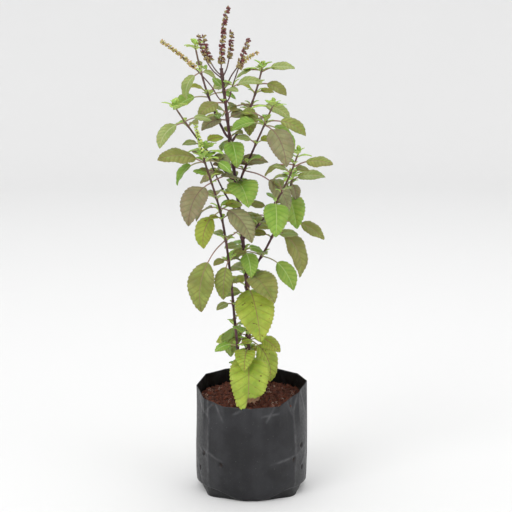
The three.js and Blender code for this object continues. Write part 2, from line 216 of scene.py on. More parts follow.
def add_sheet(draft: Draft, top: Array, under: Array, **marks: Array) -> None:
    """Add a thin closed sheet.

    Args:
        draft: The mesh to add it to.
        top: Upper face, rows by columns by 3; columns run from left to right looking forward.
        under: Lower face, the same shape.
        **marks: Values for each point of one face, used on both.
    """
    rows, columns = top.shape[:2]
    size = rows * columns
    faces = []
    for r in range(rows - 1):
        for c in range(columns - 1):
            a, b = r * columns + c, r * columns + c + 1
            d, e = a + columns, b + columns
            faces.append([a, b, e, d])
            faces.append([size + a, size + d, size + e, size + b])
    edge = [c for c in range(columns)]
    edge += [r * columns + columns - 1 for r in range(1, rows)]
    edge += [(rows - 1) * columns + c for c in range(columns - 2, -1, -1)]
    edge += [r * columns for r in range(rows - 2, 0, -1)]
    for here, beside in zip(edge, edge[1:] + edge[:1]):
        faces.append([here, size + here, size + beside, beside])
    spread = {name: np.tile(value.ravel(), 2) for name, value in marks.items()}
    spread["under"] = np.repeat([0.0, 1.0], size)
    draft.add(np.concatenate([top.reshape(-1, 3), under.reshape(-1, 3)]), faces, **spread)


def transported(tangents: Array) -> tuple[Array, Array]:
    """Two directions across a curve at each of its tangents, without needless twist."""
    across = np.zeros_like(tangents)
    last = np.array([1.0, 0.0, 0.0])
    for k, forward in enumerate(tangents):
        last = unit(last - forward * (last @ forward))
        across[k] = last
    return across, np.cross(tangents, across)


# ------------------------------------------------------------------ spines read from the frame


def rings_from(mesh: bpy.types.Mesh, size: int, top_first: bool) -> list[Array]:
    """Read a lofted solid back as its rings of points.

    Args:
        mesh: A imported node's mesh, which stays as it is.
        size: Points in each ring.
        top_first: Start at the highest ring. If not, start at the wider end of the solid.

    Returns:
        One array of points for each ring.
    """
    copy = bmesh.new()
    copy.from_mesh(mesh)
    bmesh.ops.remove_doubles(copy, verts=copy.verts, dist=2e-5)
    verts = list(copy.verts)
    places = np.array([v.co[:] for v in verts])

    def ring_at(index: int) -> list[int]:
        """The points nearest to one point of an end ring."""
        return list(np.argsort(np.linalg.norm(places - places[index], axis=1))[:size])

    if top_first:
        first = ring_at(int(places[:, 2].argmax()))
    else:
        far = int(np.linalg.norm(places - places[0], axis=1).argmax())
        other = int(np.linalg.norm(places - places[far], axis=1).argmax())
        ends = [ring_at(far), ring_at(other)]
        first = max(ends, key=lambda ring: np.ptp(places[ring], axis=0).sum())
    rings, seen, last = [], set(), {verts[k] for k in first}
    while len(last) == size:
        rings.append(np.array([v.co[:] for v in last]))
        seen |= last
        last = {e.other_vert(v) for v in last for e in v.link_edges} - seen
    copy.free()
    return rings


@dataclass
class Spine:
    """The middle line of a stem or a spike, from its foot to its tip."""

    name: str
    points: Array
    radii: Array
    joints: list[float] = field(default_factory=list)

    @classmethod
    def read(cls, node: str) -> "Spine":
        """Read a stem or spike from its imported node."""
        rings = rings_from(frame["nodes"][node].data, 6, True)[::-1]
        centres = np.array([ring.mean(axis=0) for ring in rings])
        radii = np.array([np.linalg.norm(ring - ring.mean(axis=0), axis=1).mean() for ring in rings])
        return cls(node.split("_", 1)[1], centres, radii)

    @property
    def length(self) -> float:
        """Length of the middle line."""
        return run_of(self.points)[1]

    def at(self, shares: Array) -> tuple[Array, Array, Array]:
        """Places, tangents and radii at shares of the length."""
        knots, _ = run_of(self.points)
        places, tangents = through(self.points, shares)
        return places, tangents, np.interp(shares, knots, self.radii)

    def nearest(self, place: Array) -> tuple[float, float]:
        """The share of the spine nearest to a place, and how far off it is."""
        shares = np.linspace(0, 1, 300)
        gaps = np.linalg.norm(self.at(shares)[0] - place, axis=1)
        return float(shares[gaps.argmin()]), float(gaps.min())


MIDRIB = 0.65  # where a section's midrib lies, as a share of the way from its under side to its top


@dataclass
class LeafSpine:
    """The midrib of one leaf: stations from the stem to the tip, with their frames."""

    points: Array
    sides: Array
    tops: Array
    stalk: float
    blade: float
    width: float

    @classmethod
    def read(cls, node: str) -> "LeafSpine":
        """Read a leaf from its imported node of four-point sections."""
        rings = rings_from(frame["nodes"][node].data, 4, False)
        middles = [ring.mean(axis=0) for ring in rings]
        points, sides, tops, widths = [], [], [], []
        for k, ring in enumerate(rings):
            pairs = [(a, b) for a in range(4) for b in range(a)]
            left, right = max(pairs, key=lambda p: np.linalg.norm(ring[p[0]] - ring[p[1]]))
            chord = (ring[left] + ring[right]) / 2
            rest = sorted(set(range(4)) - {left, right}, key=lambda i: np.linalg.norm(ring[i] - chord))
            top, under = ring[rest[0]], ring[rest[1]]
            ahead = middles[min(k + 1, len(rings) - 1)] - middles[max(k - 1, 0)]
            up = unit(top - under)
            side = ring[right] - ring[left]
            if np.dot(np.cross(side, up), ahead) > 0:
                side = -side
            points.append(under + (top - under) * MIDRIB)
            widths.append(np.linalg.norm(side))
            sides.append(unit(side))
            tops.append(up)
        points = np.array(points)
        steps = np.linalg.norm(np.diff(points, axis=0), axis=1)
        return cls(points, np.array(sides), np.array(tops), steps[:2].sum(), steps[2:].sum(), max(widths))

    @classmethod
    def grown(cls, foot: Array, heading: float, stalk: float, blade: float, width: float,
              rise: float, fall: float, roll: float = 0.0) -> "LeafSpine":
        """Grow a leaf that bends evenly in one upright plane.

        Args:
            foot: Where it leaves the stem.
            heading: Degrees from +X.
            stalk: Length of its stalk.
            blade: Length of its blade.
            width: Width of its blade.
            rise: Slope at the stem, in degrees.
            fall: Slope at the tip, in degrees.
            roll: Turn about its own midrib, in degrees.

        Returns:
            The leaf's spine.
        """
        ahead, up = level(heading), np.array([0.0, 0.0, 1.0])
        shares = np.linspace(0, 1, 40)
        slopes = np.radians(rise + (fall - rise) * shares)[:, None]
        forward = np.cos(slopes) * ahead + np.sin(slopes) * up
        tops = np.cos(slopes) * up - np.sin(slopes) * ahead
        steps = forward * (stalk + blade) / len(shares)
        points = foot + np.cumsum(steps, axis=0) - steps[0]
        turn = math.radians(roll)
        rolled = tops * math.cos(turn) + np.cross(forward, tops) * math.sin(turn)
        pick = np.linspace(0, len(shares) - 1, 9).astype(int)
        sides = np.cross(forward, rolled)
        return cls(points[pick], sides[pick], rolled[pick], stalk, blade, width)


# ------------------------------------------------------------------ materials


class Weaver:
    """Adds nodes to a tree and links them by what feeds them."""

    def __init__(self, tree: bpy.types.NodeTree) -> None:
        """Work on one tree."""
        self.tree = tree

    def node(
        self, kind: str, feeds: dict[int | str, Feed] | None = None, **settings: object
    ) -> bpy.types.Node:
        """Add a node.

        Args:
            kind: The node's type name.
            feeds: Values or sockets for its inputs, by name or index.
            **settings: The node's own properties.

        Returns:
            The node.
        """
        made = self.tree.nodes.new(kind)
        for name, value in settings.items():
            setattr(made, name, value)
        for key, value in (feeds or {}).items():
            self.feed(made.inputs[key], value)
        return made

    def feed(self, socket: Socket, value: Feed) -> None:
        """Link a socket to an input, or set the input's own value."""
        if isinstance(value, bpy.types.NodeSocket):
            self.tree.links.new(value, socket)
        else:
            socket.default_value = value

    def math(self, operation: str, first: Feed, second: Feed = 0.0) -> Socket:
        """Arithmetic on one or two values."""
        return self.node("ShaderNodeMath", {0: first, 1: second}, operation=operation).outputs[0]

    def fade(self, value: Feed, start: float, end: float, low: float = 0.0, high: float = 1.0) -> Socket:
        """Turn a value smoothly from low at start to high at end."""
        feeds = {"Value": value, "From Min": start, "From Max": end, "To Min": low, "To Max": high}
        return self.node("ShaderNodeMapRange", feeds, interpolation_type="SMOOTHSTEP").outputs[0]

    def blend(self, share: Feed, first: Feed, second: Feed) -> Socket:
        """Mix two colours."""
        return self.node("ShaderNodeMix", {0: share, 6: first, 7: second}, data_type="RGBA").outputs[2]

    def mark(self, name: str) -> Socket:
        """A named value of the piece's own points."""
        return self.node("ShaderNodeAttribute", attribute_name=name).outputs["Fac"]

    def place(self) -> Socket:
        """Object coordinates, in metres."""
        return self.node("ShaderNodeTexCoord").outputs["Object"]

    def noise(self, scale: float, detail: float = 2.0, place: Socket | None = None) -> Socket:
        """Soft noise from 0 to 1."""
        feeds = {"Vector": place or self.place(), "Scale": scale, "Detail": detail}
        return self.node("ShaderNodeTexNoise", feeds).outputs[0]

    def edges(self, scale: float, place: Socket | None = None) -> Socket:
        """Distance to the nearest edge of a net of cells."""
        feeds = {"Vector": place or self.place(), "Scale": scale}
        return self.node("ShaderNodeTexVoronoi", feeds, feature="DISTANCE_TO_EDGE").outputs[0]

    def use(self, group: bpy.types.NodeTree, **feeds: Feed) -> bpy.types.Node:
        """Place a node group with its values."""
        made = self.node("ShaderNodeGroup", node_tree=group)
        for name, value in feeds.items():
            self.feed(made.inputs[name], value)
        return made


def shader_group(
    name: str, takes: dict[str, float], gives: list[str]
) -> tuple[Weaver, bpy.types.Node, bpy.types.Node]:
    """Start a shader node group.

    Args:
        name: The group's name.
        takes: Its value inputs with their defaults.
        gives: Its value outputs.

    Returns:
        A weaver for the group, its input node and its output node.
    """
    tree = bpy.data.node_groups.new(name, "ShaderNodeTree")
    for title, value in takes.items():
        socket = tree.interface.new_socket(title, in_out="INPUT", socket_type="NodeSocketFloat")
        socket.default_value = value
    for title in gives:
        tree.interface.new_socket(title, in_out="OUTPUT", socket_type="NodeSocketFloat")
    weaver = Weaver(tree)
    return weaver, weaver.node("NodeGroupInput"), weaver.node("NodeGroupOutput")


def mottle_group() -> bpy.types.NodeTree:
    """Soft patches in two sizes, for anything that grew or gathered dust."""
    weaver, takes, gives = shader_group("mottle", {"Size": 10.0, "Sharpness": 0.5}, ["Patch", "Grain"])
    scale = weaver.math("DIVIDE", 1000.0, takes.outputs["Size"])
    broad = weaver.node("ShaderNodeTexNoise", {"Vector": weaver.place(), "Scale": scale, "Detail": 2.0})
    fine = weaver.node(
        "ShaderNodeTexNoise",
        {"Vector": weaver.place(), "Scale": weaver.math("MULTIPLY", scale, 9.0), "Detail": 3.0},
    )
    centred = weaver.math("SUBTRACT", broad.outputs[0], 0.5)
    steep = weaver.math("MULTIPLY", centred, weaver.math("MULTIPLY", takes.outputs["Sharpness"], 8.0))
    patch = weaver.node("ShaderNodeClamp", {0: weaver.math("ADD", steep, 0.5)})
    weaver.feed(gives.inputs["Patch"], patch.outputs[0])
    weaver.feed(gives.inputs["Grain"], fine.outputs[0])
    return weaver.tree


def venation_group() -> bpy.types.NodeTree:
    """Veins of a leaf from its own coordinates: the midrib, its side veins, the fine net, and painted shade
    in the valleys beside the side veins.
    """
    takes = {"Lane": 0.0, "Across": 0.0, "Along": 0.0, "Pitch": 5.0}
    weaver, given, gives = shader_group("venation", takes, ["Rib", "Vein", "ValleyShade", "Net"])
    along = given.outputs["Along"]
    rib_width = weaver.math("SUBTRACT", 1.0, weaver.math("MULTIPLY", along, 0.6))
    rib = weaver.math("SUBTRACT", 1.0, weaver.math("DIVIDE", given.outputs["Across"], rib_width))
    rib = weaver.fade(rib, 0.0, 0.7)
    turn = weaver.math("FRACT", weaver.math("ADD", given.outputs["Lane"], 0.5))
    off = weaver.math("ABSOLUTE", weaver.math("SUBTRACT", turn, 0.5))
    off = weaver.math("MULTIPLY", off, given.outputs["Pitch"])
    side = weaver.fade(off, 0.6, 0.2)
    on_blade = weaver.fade(along, 0.0, 0.06)
    side = weaver.math("MULTIPLY", side, on_blade)
    weaver.feed(gives.inputs["Rib"], rib)
    weaver.feed(gives.inputs["Vein"], weaver.math("MAXIMUM", rib, side))
    # Painted shade: the valleys of the quilting beside each side vein.
    weaver.feed(gives.inputs["ValleyShade"], weaver.math("MULTIPLY", weaver.fade(off, 2.2, 0.0), on_blade))
    net = weaver.fade(weaver.edges(520.0), 0.12, 0.02)
    weaver.feed(gives.inputs["Net"], weaver.math("MULTIPLY", net, on_blade))
    return weaver.tree


MOTTLE = mottle_group()
VENATION = venation_group()


def plain_material(name: str) -> tuple[bpy.types.Material, Weaver, bpy.types.Node]:
    """A new node material, its weaver and its Principled shader."""
    material = bpy.data.materials.new(name)
    material.use_nodes = True
    shader = material.node_tree.nodes["Principled BSDF"]
    return material, Weaver(material.node_tree), shader


class Tone(Enum):
    """Leaf tones, named as the record's material slots are."""

    LIME = "leaf_lime"
    GREEN = "leaf_green"
    OLIVE = "leaf_olive"
    PURPLE = "leaf_purple"
    PALE = "leaf_pale"


@dataclass(frozen=True)
class LeafFinish:
    """How one tone of leaf looks."""

    tone: Tone
    blade: Colour
    deep: Colour
    flush: Colour
    flush_share: float
    vein: Colour
    rib: Colour
    under: Colour
    stalk: Colour
    name: str = ""
    vein_strength: float = 0.6
    spots: float = 0.0

    def material(self) -> bpy.types.Material:
        """Build the leaf's material."""
        material, weave, shader = plain_material(self.name or self.tone.value)
        veins = weave.use(
            VENATION, Lane=weave.mark("lane"), Across=weave.mark("across"), Along=weave.mark("along"),
            Pitch=weave.mark("pitch"),
        )
        patches = weave.use(MOTTLE, Size=16.0, Sharpness=0.45)
        rib, vein = veins.outputs["Rib"], veins.outputs["Vein"]
        valley_shade, net = veins.outputs["ValleyShade"], veins.outputs["Net"]
        colour = weave.blend(patches.outputs["Patch"], self.blade, self.deep)
        tint = weave.mark("tint")
        edge = weave.math("POWER", weave.mark("edge"), 3.0)
        flushed = weave.math("ADD", weave.noise(55.0, 3.0), weave.math("MULTIPLY", tint, 0.3))
        flushed = weave.fade(weave.math("ADD", flushed, weave.math("MULTIPLY", edge, 0.3)), 0.45, 1.05)
        colour = weave.blend(weave.math("MULTIPLY", flushed, self.flush_share), colour, self.flush)
        colour = weave.blend(weave.math("MULTIPLY", net, 0.3), colour, self.vein)
        # Painted shade darkens the quilted valleys along the side veins.
        colour = weave.blend(weave.math("MULTIPLY", valley_shade, 0.5), colour, self.deep)
        colour = weave.blend(weave.math("MULTIPLY", vein, self.vein_strength), colour, self.vein)
        colour = weave.blend(weave.math("MULTIPLY", rib, 0.8), colour, self.rib)
        grain = weave.fade(patches.outputs["Grain"], 0.3, 0.7, 0.0, 0.22)
        colour = weave.blend(grain, colour, self.deep)
        colour = weave.blend(weave.math("MULTIPLY", weave.mark("under"), 0.7), colour, self.under)
        colour = weave.blend(weave.fade(weave.mark("along"), 0.02, -0.02), colour, self.stalk)
        if self.spots:
            bitten = weave.fade(weave.noise(190.0, 1.0), 0.7, 0.74, 0.0, self.spots)
            colour = weave.blend(bitten, colour, srgb(96, 60, 38))
        brown = weave.blend(weave.noise(320.0, 3.0), srgb(58, 38, 28), srgb(138, 104, 74))
        colour = weave.blend(weave.mark("wither"), colour, brown)
        weave.feed(shader.inputs["Base Color"], colour)
        gloss = weave.fade(patches.outputs["Grain"], 0.25, 0.75, 0.42, 0.6)
        weave.feed(shader.inputs["Roughness"], gloss)
        shader.inputs["Subsurface Weight"].default_value = 0.15
        shader.inputs["Subsurface Scale"].default_value = 0.002
        shader.inputs["Specular IOR Level"].default_value = 0.3
        height = weave.math("SUBTRACT", weave.math("MULTIPLY", patches.outputs["Grain"], 0.4), vein)
        height = weave.math("SUBTRACT", height, weave.math("MULTIPLY", net, 0.35))
        bump = weave.node("ShaderNodeBump", {"Height": height, "Strength": 0.35, "Distance": 0.0003})
        weave.feed(shader.inputs["Normal"], bump.outputs[0])
        return material


LEAF_FINISHES = [
    LeafFinish(Tone.LIME, blade=srgb(172, 194, 74), deep=srgb(134, 162, 50), flush=srgb(170, 158, 78),
               flush_share=0.5, vein=srgb(142, 124, 64), rib=srgb(146, 106, 84), under=srgb(176, 198, 104),
               stalk=srgb(172, 158, 112), spots=0.8),
    LeafFinish(Tone.GREEN, blade=srgb(148, 184, 76), deep=srgb(112, 154, 52), flush=srgb(156, 156, 92),
               flush_share=0.4, vein=srgb(108, 142, 54), rib=srgb(182, 202, 130), under=srgb(158, 188, 108),
               stalk=srgb(166, 158, 120)),
    LeafFinish(Tone.OLIVE, blade=srgb(152, 170, 84), deep=srgb(118, 136, 58), flush=srgb(132, 112, 82),
               flush_share=0.5, vein=srgb(118, 108, 66), rib=srgb(150, 128, 98), under=srgb(160, 172, 116),
               stalk=srgb(156, 124, 112)),
    LeafFinish(Tone.PURPLE, blade=srgb(156, 162, 112), deep=srgb(124, 130, 84), flush=srgb(130, 108, 96),
               flush_share=0.65, vein=srgb(116, 106, 84), rib=srgb(128, 92, 88), under=srgb(166, 166, 134),
               stalk=srgb(150, 116, 112)),
    LeafFinish(Tone.PALE, blade=srgb(168, 186, 112), deep=srgb(134, 156, 82), flush=srgb(148, 134, 110),
               flush_share=0.45, vein=srgb(128, 138, 82), rib=srgb(190, 198, 150), under=srgb(180, 192, 144),
               stalk=srgb(164, 138, 122)),
]
YOUNG_FINISH = LeafFinish(
    Tone.LIME, blade=srgb(184, 214, 104), deep=srgb(148, 188, 72), flush=srgb(196, 204, 118), flush_share=0.3,
    vein=srgb(158, 196, 88), rib=srgb(206, 224, 148), under=srgb(194, 216, 128), stalk=srgb(184, 202, 126),
    name="leaf_young",
)


@dataclass(frozen=True)
class StemFinish:
    """Stems: dark purple-brown, barky and paler at the foot, greener at the tips."""

    foot: Colour = srgb(122, 92, 74)
    skin: Colour = srgb(66, 28, 38)
    young: Colour = srgb(126, 104, 82)

    def material(self) -> bpy.types.Material:
        """Build the stems' material."""
        material, weave, shader = plain_material("stem_purple")
        age = weave.mark("age")
        patches = weave.use(MOTTLE, Size=7.0, Sharpness=0.5)
        colour = weave.blend(weave.fade(age, 0.45, 1.0), self.skin, self.young)
        colour = weave.blend(weave.fade(age, 0.16, 0.02), colour, self.foot)
        dark = weave.fade(patches.outputs["Grain"], 0.35, 0.7, 0.0, 0.5)
        colour = weave.blend(dark, colour, srgb(52, 22, 30))
        light = weave.fade(patches.outputs["Patch"], 0.3, 0.9, 0.0, 0.3)
        colour = weave.blend(light, colour, srgb(136, 92, 92))
        weave.feed(shader.inputs["Base Color"], colour)
        weave.feed(shader.inputs["Roughness"], weave.fade(patches.outputs["Grain"], 0.2, 0.8, 0.45, 0.7))
        bump = weave.node(
            "ShaderNodeBump", {"Height": patches.outputs["Grain"], "Strength": 0.5, "Distance": 0.0004}
        )
        weave.feed(shader.inputs["Normal"], bump.outputs[0])
        return material


@dataclass(frozen=True)
class FlowerFinish:
    """Flower cups: purple-brown when ripe, straw-green when young."""

    name: str
    cup: Colour
    lip: Colour
    shade: Colour

    def material(self) -> bpy.types.Material:
        """Build the flower cups' material."""
        material, weave, shader = plain_material(self.name)
        patches = weave.use(MOTTLE, Size=2.5, Sharpness=0.6)
        colour = weave.blend(weave.fade(weave.mark("shade"), 0.45, 0.8), self.cup, self.lip)
        colour = weave.blend(weave.fade(patches.outputs["Grain"], 0.4, 0.7, 0.0, 0.6), colour, self.shade)
        weave.feed(shader.inputs["Base Color"], colour)
        weave.feed(shader.inputs["Roughness"], weave.fade(patches.outputs["Patch"], 0.0, 1.0, 0.55, 0.8))
        shader.inputs["Subsurface Weight"].default_value = 0.15
        shader.inputs["Subsurface Scale"].default_value = 0.001
        bump = weave.node(
            "ShaderNodeBump", {"Height": patches.outputs["Grain"], "Strength": 0.5, "Distance": 0.0002}
        )
        weave.feed(shader.inputs["Normal"], bump.outputs[0])
        return material


@dataclass(frozen=True)
class FilmFinish:
    """Black polythene film: some dust, whitened creases with painted highlights, painted sheen at the sides
    and painted shade under the foot.
    """

    film: Colour = srgb(18, 18, 22)
    dust_wear_and_highlight: Colour = srgb(108, 108, 110)
    inner: Colour = srgb(16, 16, 15)

    def material(self) -> bpy.types.Material:
        """Build the bag's material."""
        material, weave, shader = plain_material("bag_film")
        patches = weave.use(MOTTLE, Size=26.0, Sharpness=0.4)
        stretch = weave.node(
            "ShaderNodeMapping", {"Vector": weave.place(), "Scale": (1.0, 1.0, 0.12)}
        ).outputs[0]
        streaks = weave.fade(weave.noise(60.0, 3.0, stretch), 0.4, 0.85)
        # Dust streaks near the rim, and painted sheen that lightens the bag's left and right sides.
        dust_and_sheen = weave.math("MULTIPLY", streaks, weave.mark("handled"))
        colour = weave.blend(weave.math("MULTIPLY", dust_and_sheen, 0.32), self.film, self.dust_wear_and_highlight)
        # Creases: real whitening of the film together with painted highlights, lightened towards the pale
        # grey.
        crease_patchiness = weave.fade(weave.noise(120.0), 0.3, 0.7, 0.3, 1.0)
        ridge = weave.math("MULTIPLY", weave.mark("crease"), crease_patchiness)
        colour = weave.blend(weave.math("MULTIPLY", ridge, 0.55), colour, self.dust_wear_and_highlight)
        # Painted shade: the foot and folds under the lifted edge darkened towards the inner colour.
        colour = weave.blend(weave.math("MULTIPLY", weave.mark("tucked"), 0.7), colour, self.inner)
        paler = weave.fade(patches.outputs["Patch"], 0.2, 1.0, 0.0, 0.25)
        colour = weave.blend(paler, colour, srgb(56, 56, 60))
        specks = weave.fade(weave.noise(900.0, 1.0), 0.74, 0.8, 0.0, 0.35)
        colour = weave.blend(specks, colour, srgb(150, 146, 140))
        colour = weave.blend(weave.mark("inner"), colour, self.inner)
        colour = weave.blend(weave.mark("hole"), colour, srgb(30, 17, 12))
        weave.feed(shader.inputs["Base Color"], colour)
        rough = weave.fade(patches.outputs["Grain"], 0.3, 0.7, 0.36, 0.5)
        weave.feed(shader.inputs["Roughness"], weave.math("ADD", rough, weave.math("MULTIPLY", dust_and_sheen, 0.2)))
        shader.inputs["Specular IOR Level"].default_value = 0.4
        height = weave.math("ADD", weave.noise(60.0, 3.0), weave.math("MULTIPLY", weave.noise(420.0), 0.12))
        bump = weave.node("ShaderNodeBump", {"Height": height, "Strength": 0.3, "Distance": 0.002})
        weave.feed(shader.inputs["Normal"], bump.outputs[0])
        return material


@dataclass(frozen=True)
class SoilFinish:
    """Cocopeat: reddish-brown crumbs, some darker, a few pale specks."""

    dark: Colour = srgb(34, 15, 9)
    warm: Colour = srgb(104, 50, 28)
    speck: Colour = srgb(214, 204, 190)

    def material(self) -> bpy.types.Material:
        """Build the potting mix's material."""
        material, weave, shader = plain_material("potting_mix")
        patches = weave.use(MOTTLE, Size=3.0, Sharpness=0.6)
        shade = weave.mark("shade")
        patch_share = weave.math("MULTIPLY", patches.outputs["Patch"], 0.25)
        share = weave.math("ADD", weave.math("MULTIPLY", shade, 0.75), patch_share)
        colour = weave.blend(share, self.dark, self.warm)
        grains = weave.fade(patches.outputs["Grain"], 0.58, 0.62)
        speck = weave.math("MULTIPLY", weave.fade(shade, 0.97, 0.98), grains)
        colour = weave.blend(speck, colour, self.speck)
        weave.feed(shader.inputs["Base Color"], colour)
        weave.feed(shader.inputs["Roughness"], weave.fade(patches.outputs["Grain"], 0.2, 0.8, 0.8, 1.0))
        bump = weave.node(
            "ShaderNodeBump", {"Height": patches.outputs["Grain"], "Strength": 0.8, "Distance": 0.0006}
        )
        weave.feed(shader.inputs["Normal"], bump.outputs[0])
        return material


# ------------------------------------------------------------------ geometry nodes


def scatter_tree(name: str, on_faces: bool) -> bpy.types.NodeTree:
    """A tree that sets a copy of one piece on every point, aimed along the points' own values.

    Args:
        name: The tree's name.
        on_faces: Scatter fresh points over the faces first, instead of using the points given.

    Returns:
        The tree.
    """
    tree = bpy.data.node_groups.new(name, "GeometryNodeTree")
    sockets = [("Geometry", "Geometry", None), ("Copy", "Object", None), ("Finish", "Material", None),
               ("Density", "Float", 1.0), ("Least", "Float", 0.5), ("Most", "Float", 1.0), ("Seed", "Int", 1)]
    for title, kind, value in sockets:
        socket = tree.interface.new_socket(title, in_out="INPUT", socket_type=f"NodeSocket{kind}")
        if value is not None:
            socket.default_value = value
    tree.interface.new_socket("Geometry", in_out="OUTPUT", socket_type="NodeSocketGeometry")
    weave = Weaver(tree)
    given = weave.node("NodeGroupInput").outputs
    shade = weave.node(
        "FunctionNodeRandomValue", {"Min": 0.0, "Max": 1.0, "Seed": given["Seed"]}, data_type="FLOAT"
    )
    if on_faces:
        spread = weave.node(
            "GeometryNodeDistributePointsOnFaces",
            {"Mesh": given["Geometry"], "Density": given["Density"], "Seed": given["Seed"]},
        )
        points = spread.outputs["Points"]
        turn = weave.node(
            "FunctionNodeRandomValue",
            {0: (0.0, 0.0, 0.0), 1: (math.tau, math.tau, math.tau), "Seed": given["Seed"]},
            data_type="FLOAT_VECTOR",
        )
        rotation = turn.outputs[0]
        size = weave.node(
            "FunctionNodeRandomValue",
            {2: given["Least"], 3: given["Most"], "Seed": given["Seed"]}, data_type="FLOAT",
        ).outputs[1]
    else:
        points = given["Geometry"]
        aim = weave.node("GeometryNodeInputNamedAttribute", {"Name": "aim"}, data_type="FLOAT_VECTOR")
        aimed = weave.node("FunctionNodeAlignRotationToVector", {"Vector": aim.outputs[0]}, axis="Z")
        rotation = aimed.outputs[0]
        sized = weave.node("GeometryNodeInputNamedAttribute", {"Name": "size"}, data_type="FLOAT")
        size = sized.outputs[0]
    stored = weave.node(
        "GeometryNodeStoreNamedAttribute",
        {"Geometry": points, "Name": "shade", "Value": shade.outputs[1]}, data_type="FLOAT", domain="POINT",
    )
    copied = weave.node("GeometryNodeObjectInfo", {"Object": given["Copy"]})
    placed = weave.node(
        "GeometryNodeInstanceOnPoints",
        {
            "Points": stored.outputs[0], "Instance": copied.outputs["Geometry"],
            "Rotation": rotation, "Scale": size,
        },
    )
    real = weave.node("GeometryNodeRealizeInstances", {"Geometry": placed.outputs[0]})
    dressed = weave.node(
        "GeometryNodeSetMaterial", {"Geometry": real.outputs[0], "Material": given["Finish"]}
    )
    out = weave.node("NodeGroupOutput")
    weave.feed(out.inputs[0], dressed.outputs[0])
    return tree


def scattered(
    name: str, tree: bpy.types.NodeTree, base: bpy.types.Mesh, **inputs: object
) -> bpy.types.Object:
    """Run a scatter tree on a mesh and keep the result as a plain object.

    Args:
        name: The new piece's name.
        tree: The geometry node tree.
        base: The mesh that carries the points.
        **inputs: Values for the tree's named inputs.

    Returns:
        The new piece.
    """
    carrier = bpy.data.objects.new(name + "_points", base)
    bpy.context.scene.collection.objects.link(carrier)
    modifier = carrier.modifiers.new("scatter", "NODES")
    modifier.node_group = tree
    for item in tree.interface.items_tree:
        if item.in_out == "INPUT" and item.name in inputs:
            modifier[item.identifier] = inputs[item.name]
    graph = bpy.context.evaluated_depsgraph_get()
    mesh = bpy.data.meshes.new_from_object(carrier.evaluated_get(graph))
    bpy.data.objects.remove(carrier)
    mesh.name = name
    mesh.shade_smooth()
    made = bpy.data.objects.new(name, mesh)
    bpy.context.scene.collection.objects.link(made)
    return made


def points_mesh(name: str, places: Array, aims: Array, sizes: Array) -> bpy.types.Mesh:
    """A mesh of loose points with a direction and a size each."""
    mesh = bpy.data.meshes.new(name)
    mesh.from_pydata(places.tolist(), [], [])
    aim = mesh.attributes.new("aim", "FLOAT_VECTOR", "POINT")
    aim.data.foreach_set("vector", aims.astype(np.float32).ravel())
    size = mesh.attributes.new("size", "FLOAT", "POINT")
    size.data.foreach_set("value", sizes.astype(np.float32))
    return mesh


# ------------------------------------------------------------------ grow bag


@dataclass(frozen=True)
class Crease:
    """A fold in the film: a ridge or, if its depth is negative, a groove, along a line."""

    start: tuple[float, float]
    end: tuple[float, float]
    depth: float
    width: float = 3.5
    worn_width: float = 1.3

    def press(self, angles: Array, heights: Array, radius: float) -> tuple[Array, Array]:
        """Offset and nearness of the crease.

        Args:
            angles: Degrees from +X, for each point.
            heights: Heights in millimetres.
            radius: The bag's radius in millimetres.

        Returns:
            The outward offset in millimetres, and a 0 to 1 nearness.
        """
        def unrolled(angle: Array | float) -> Array:
            """Degrees as millimetres round the bag, measured from the crease's start."""
            return np.radians(turned_from(angle, self.start[0])) * radius
        x, y = unrolled(angles), heights - self.start[1]
        along_x, along_y = float(unrolled(self.end[0])), self.end[1] - self.start[1]
        share = np.clip((x * along_x + y * along_y) / (along_x**2 + along_y**2), 0, 1)
        gap = np.hypot(x - share * along_x, y - share * along_y)
        taper = np.sin(np.pi * np.clip(share, 0.04, 0.96)) ** 0.35
        return self.depth * np.exp(-gap / self.width) * taper, np.exp(-((gap / self.worn_width) ** 2)) * taper


# The gussets' headings, and the creases as (heading, height) at each end, then depth and width.
GUSSETS = (220, 320, 40, 140)
CREASES = [
    *[Crease((side, 10), (side, 101), 1.3, 4.0) for side in GUSSETS],
    Crease((220, 97), (188, 113), -0.9), Crease((219, 97), (217, 122), 1.6, 2.5),
    Crease((214, 104), (226, 118), -0.8, 3), Crease((205, 100), (200, 124), 0.9, 3),
    Crease((319, 100), (311, 120), 1.7, 2.2), Crease((319, 100), (327, 124), 1.7, 2.2),
    Crease((319, 103), (319, 121), -2.0, 4.5), Crease((332, 126), (343, 108), 1.5, 2.6),
    Crease((338, 128), (349, 100), -1.2, 3), Crease((352, 129), (356, 98), 1.0, 2.6),
    Crease((210, 59), (238, 48), 0.9, 3), Crease((199, 60), (219, 47), 0.7, 3),
    Crease((290, 46), (323, 52), 0.8, 3), Crease((323, 52), (350, 63), 0.9, 3),
    Crease((191, 38), (207, 14), -0.8), Crease((330, 34), (345, 50), 0.7),
    Crease((228, 117), (240, 96), 0.7, 3), Crease((296, 116), (286, 98), 0.6, 3),
    Crease((262, 113), (250, 106), 0.7, 4), Crease((281, 104), (300, 106), -0.6, 4),
    Crease((41, 101), (52, 128), 1.5, 2.5), Crease((41, 101), (30, 129), 1.5, 2.5),
    Crease((139, 101), (148, 130), 1.5, 2.5), Crease((139, 101), (129, 131), -1.2, 3),
    Crease((70, 60), (100, 82), 0.7, 4), Crease((85, 40), (120, 30), 0.7, 4),
    Crease((15, 70), (2, 40), 0.8, 3), Crease((165, 84), (178, 50), 0.8, 3),
]


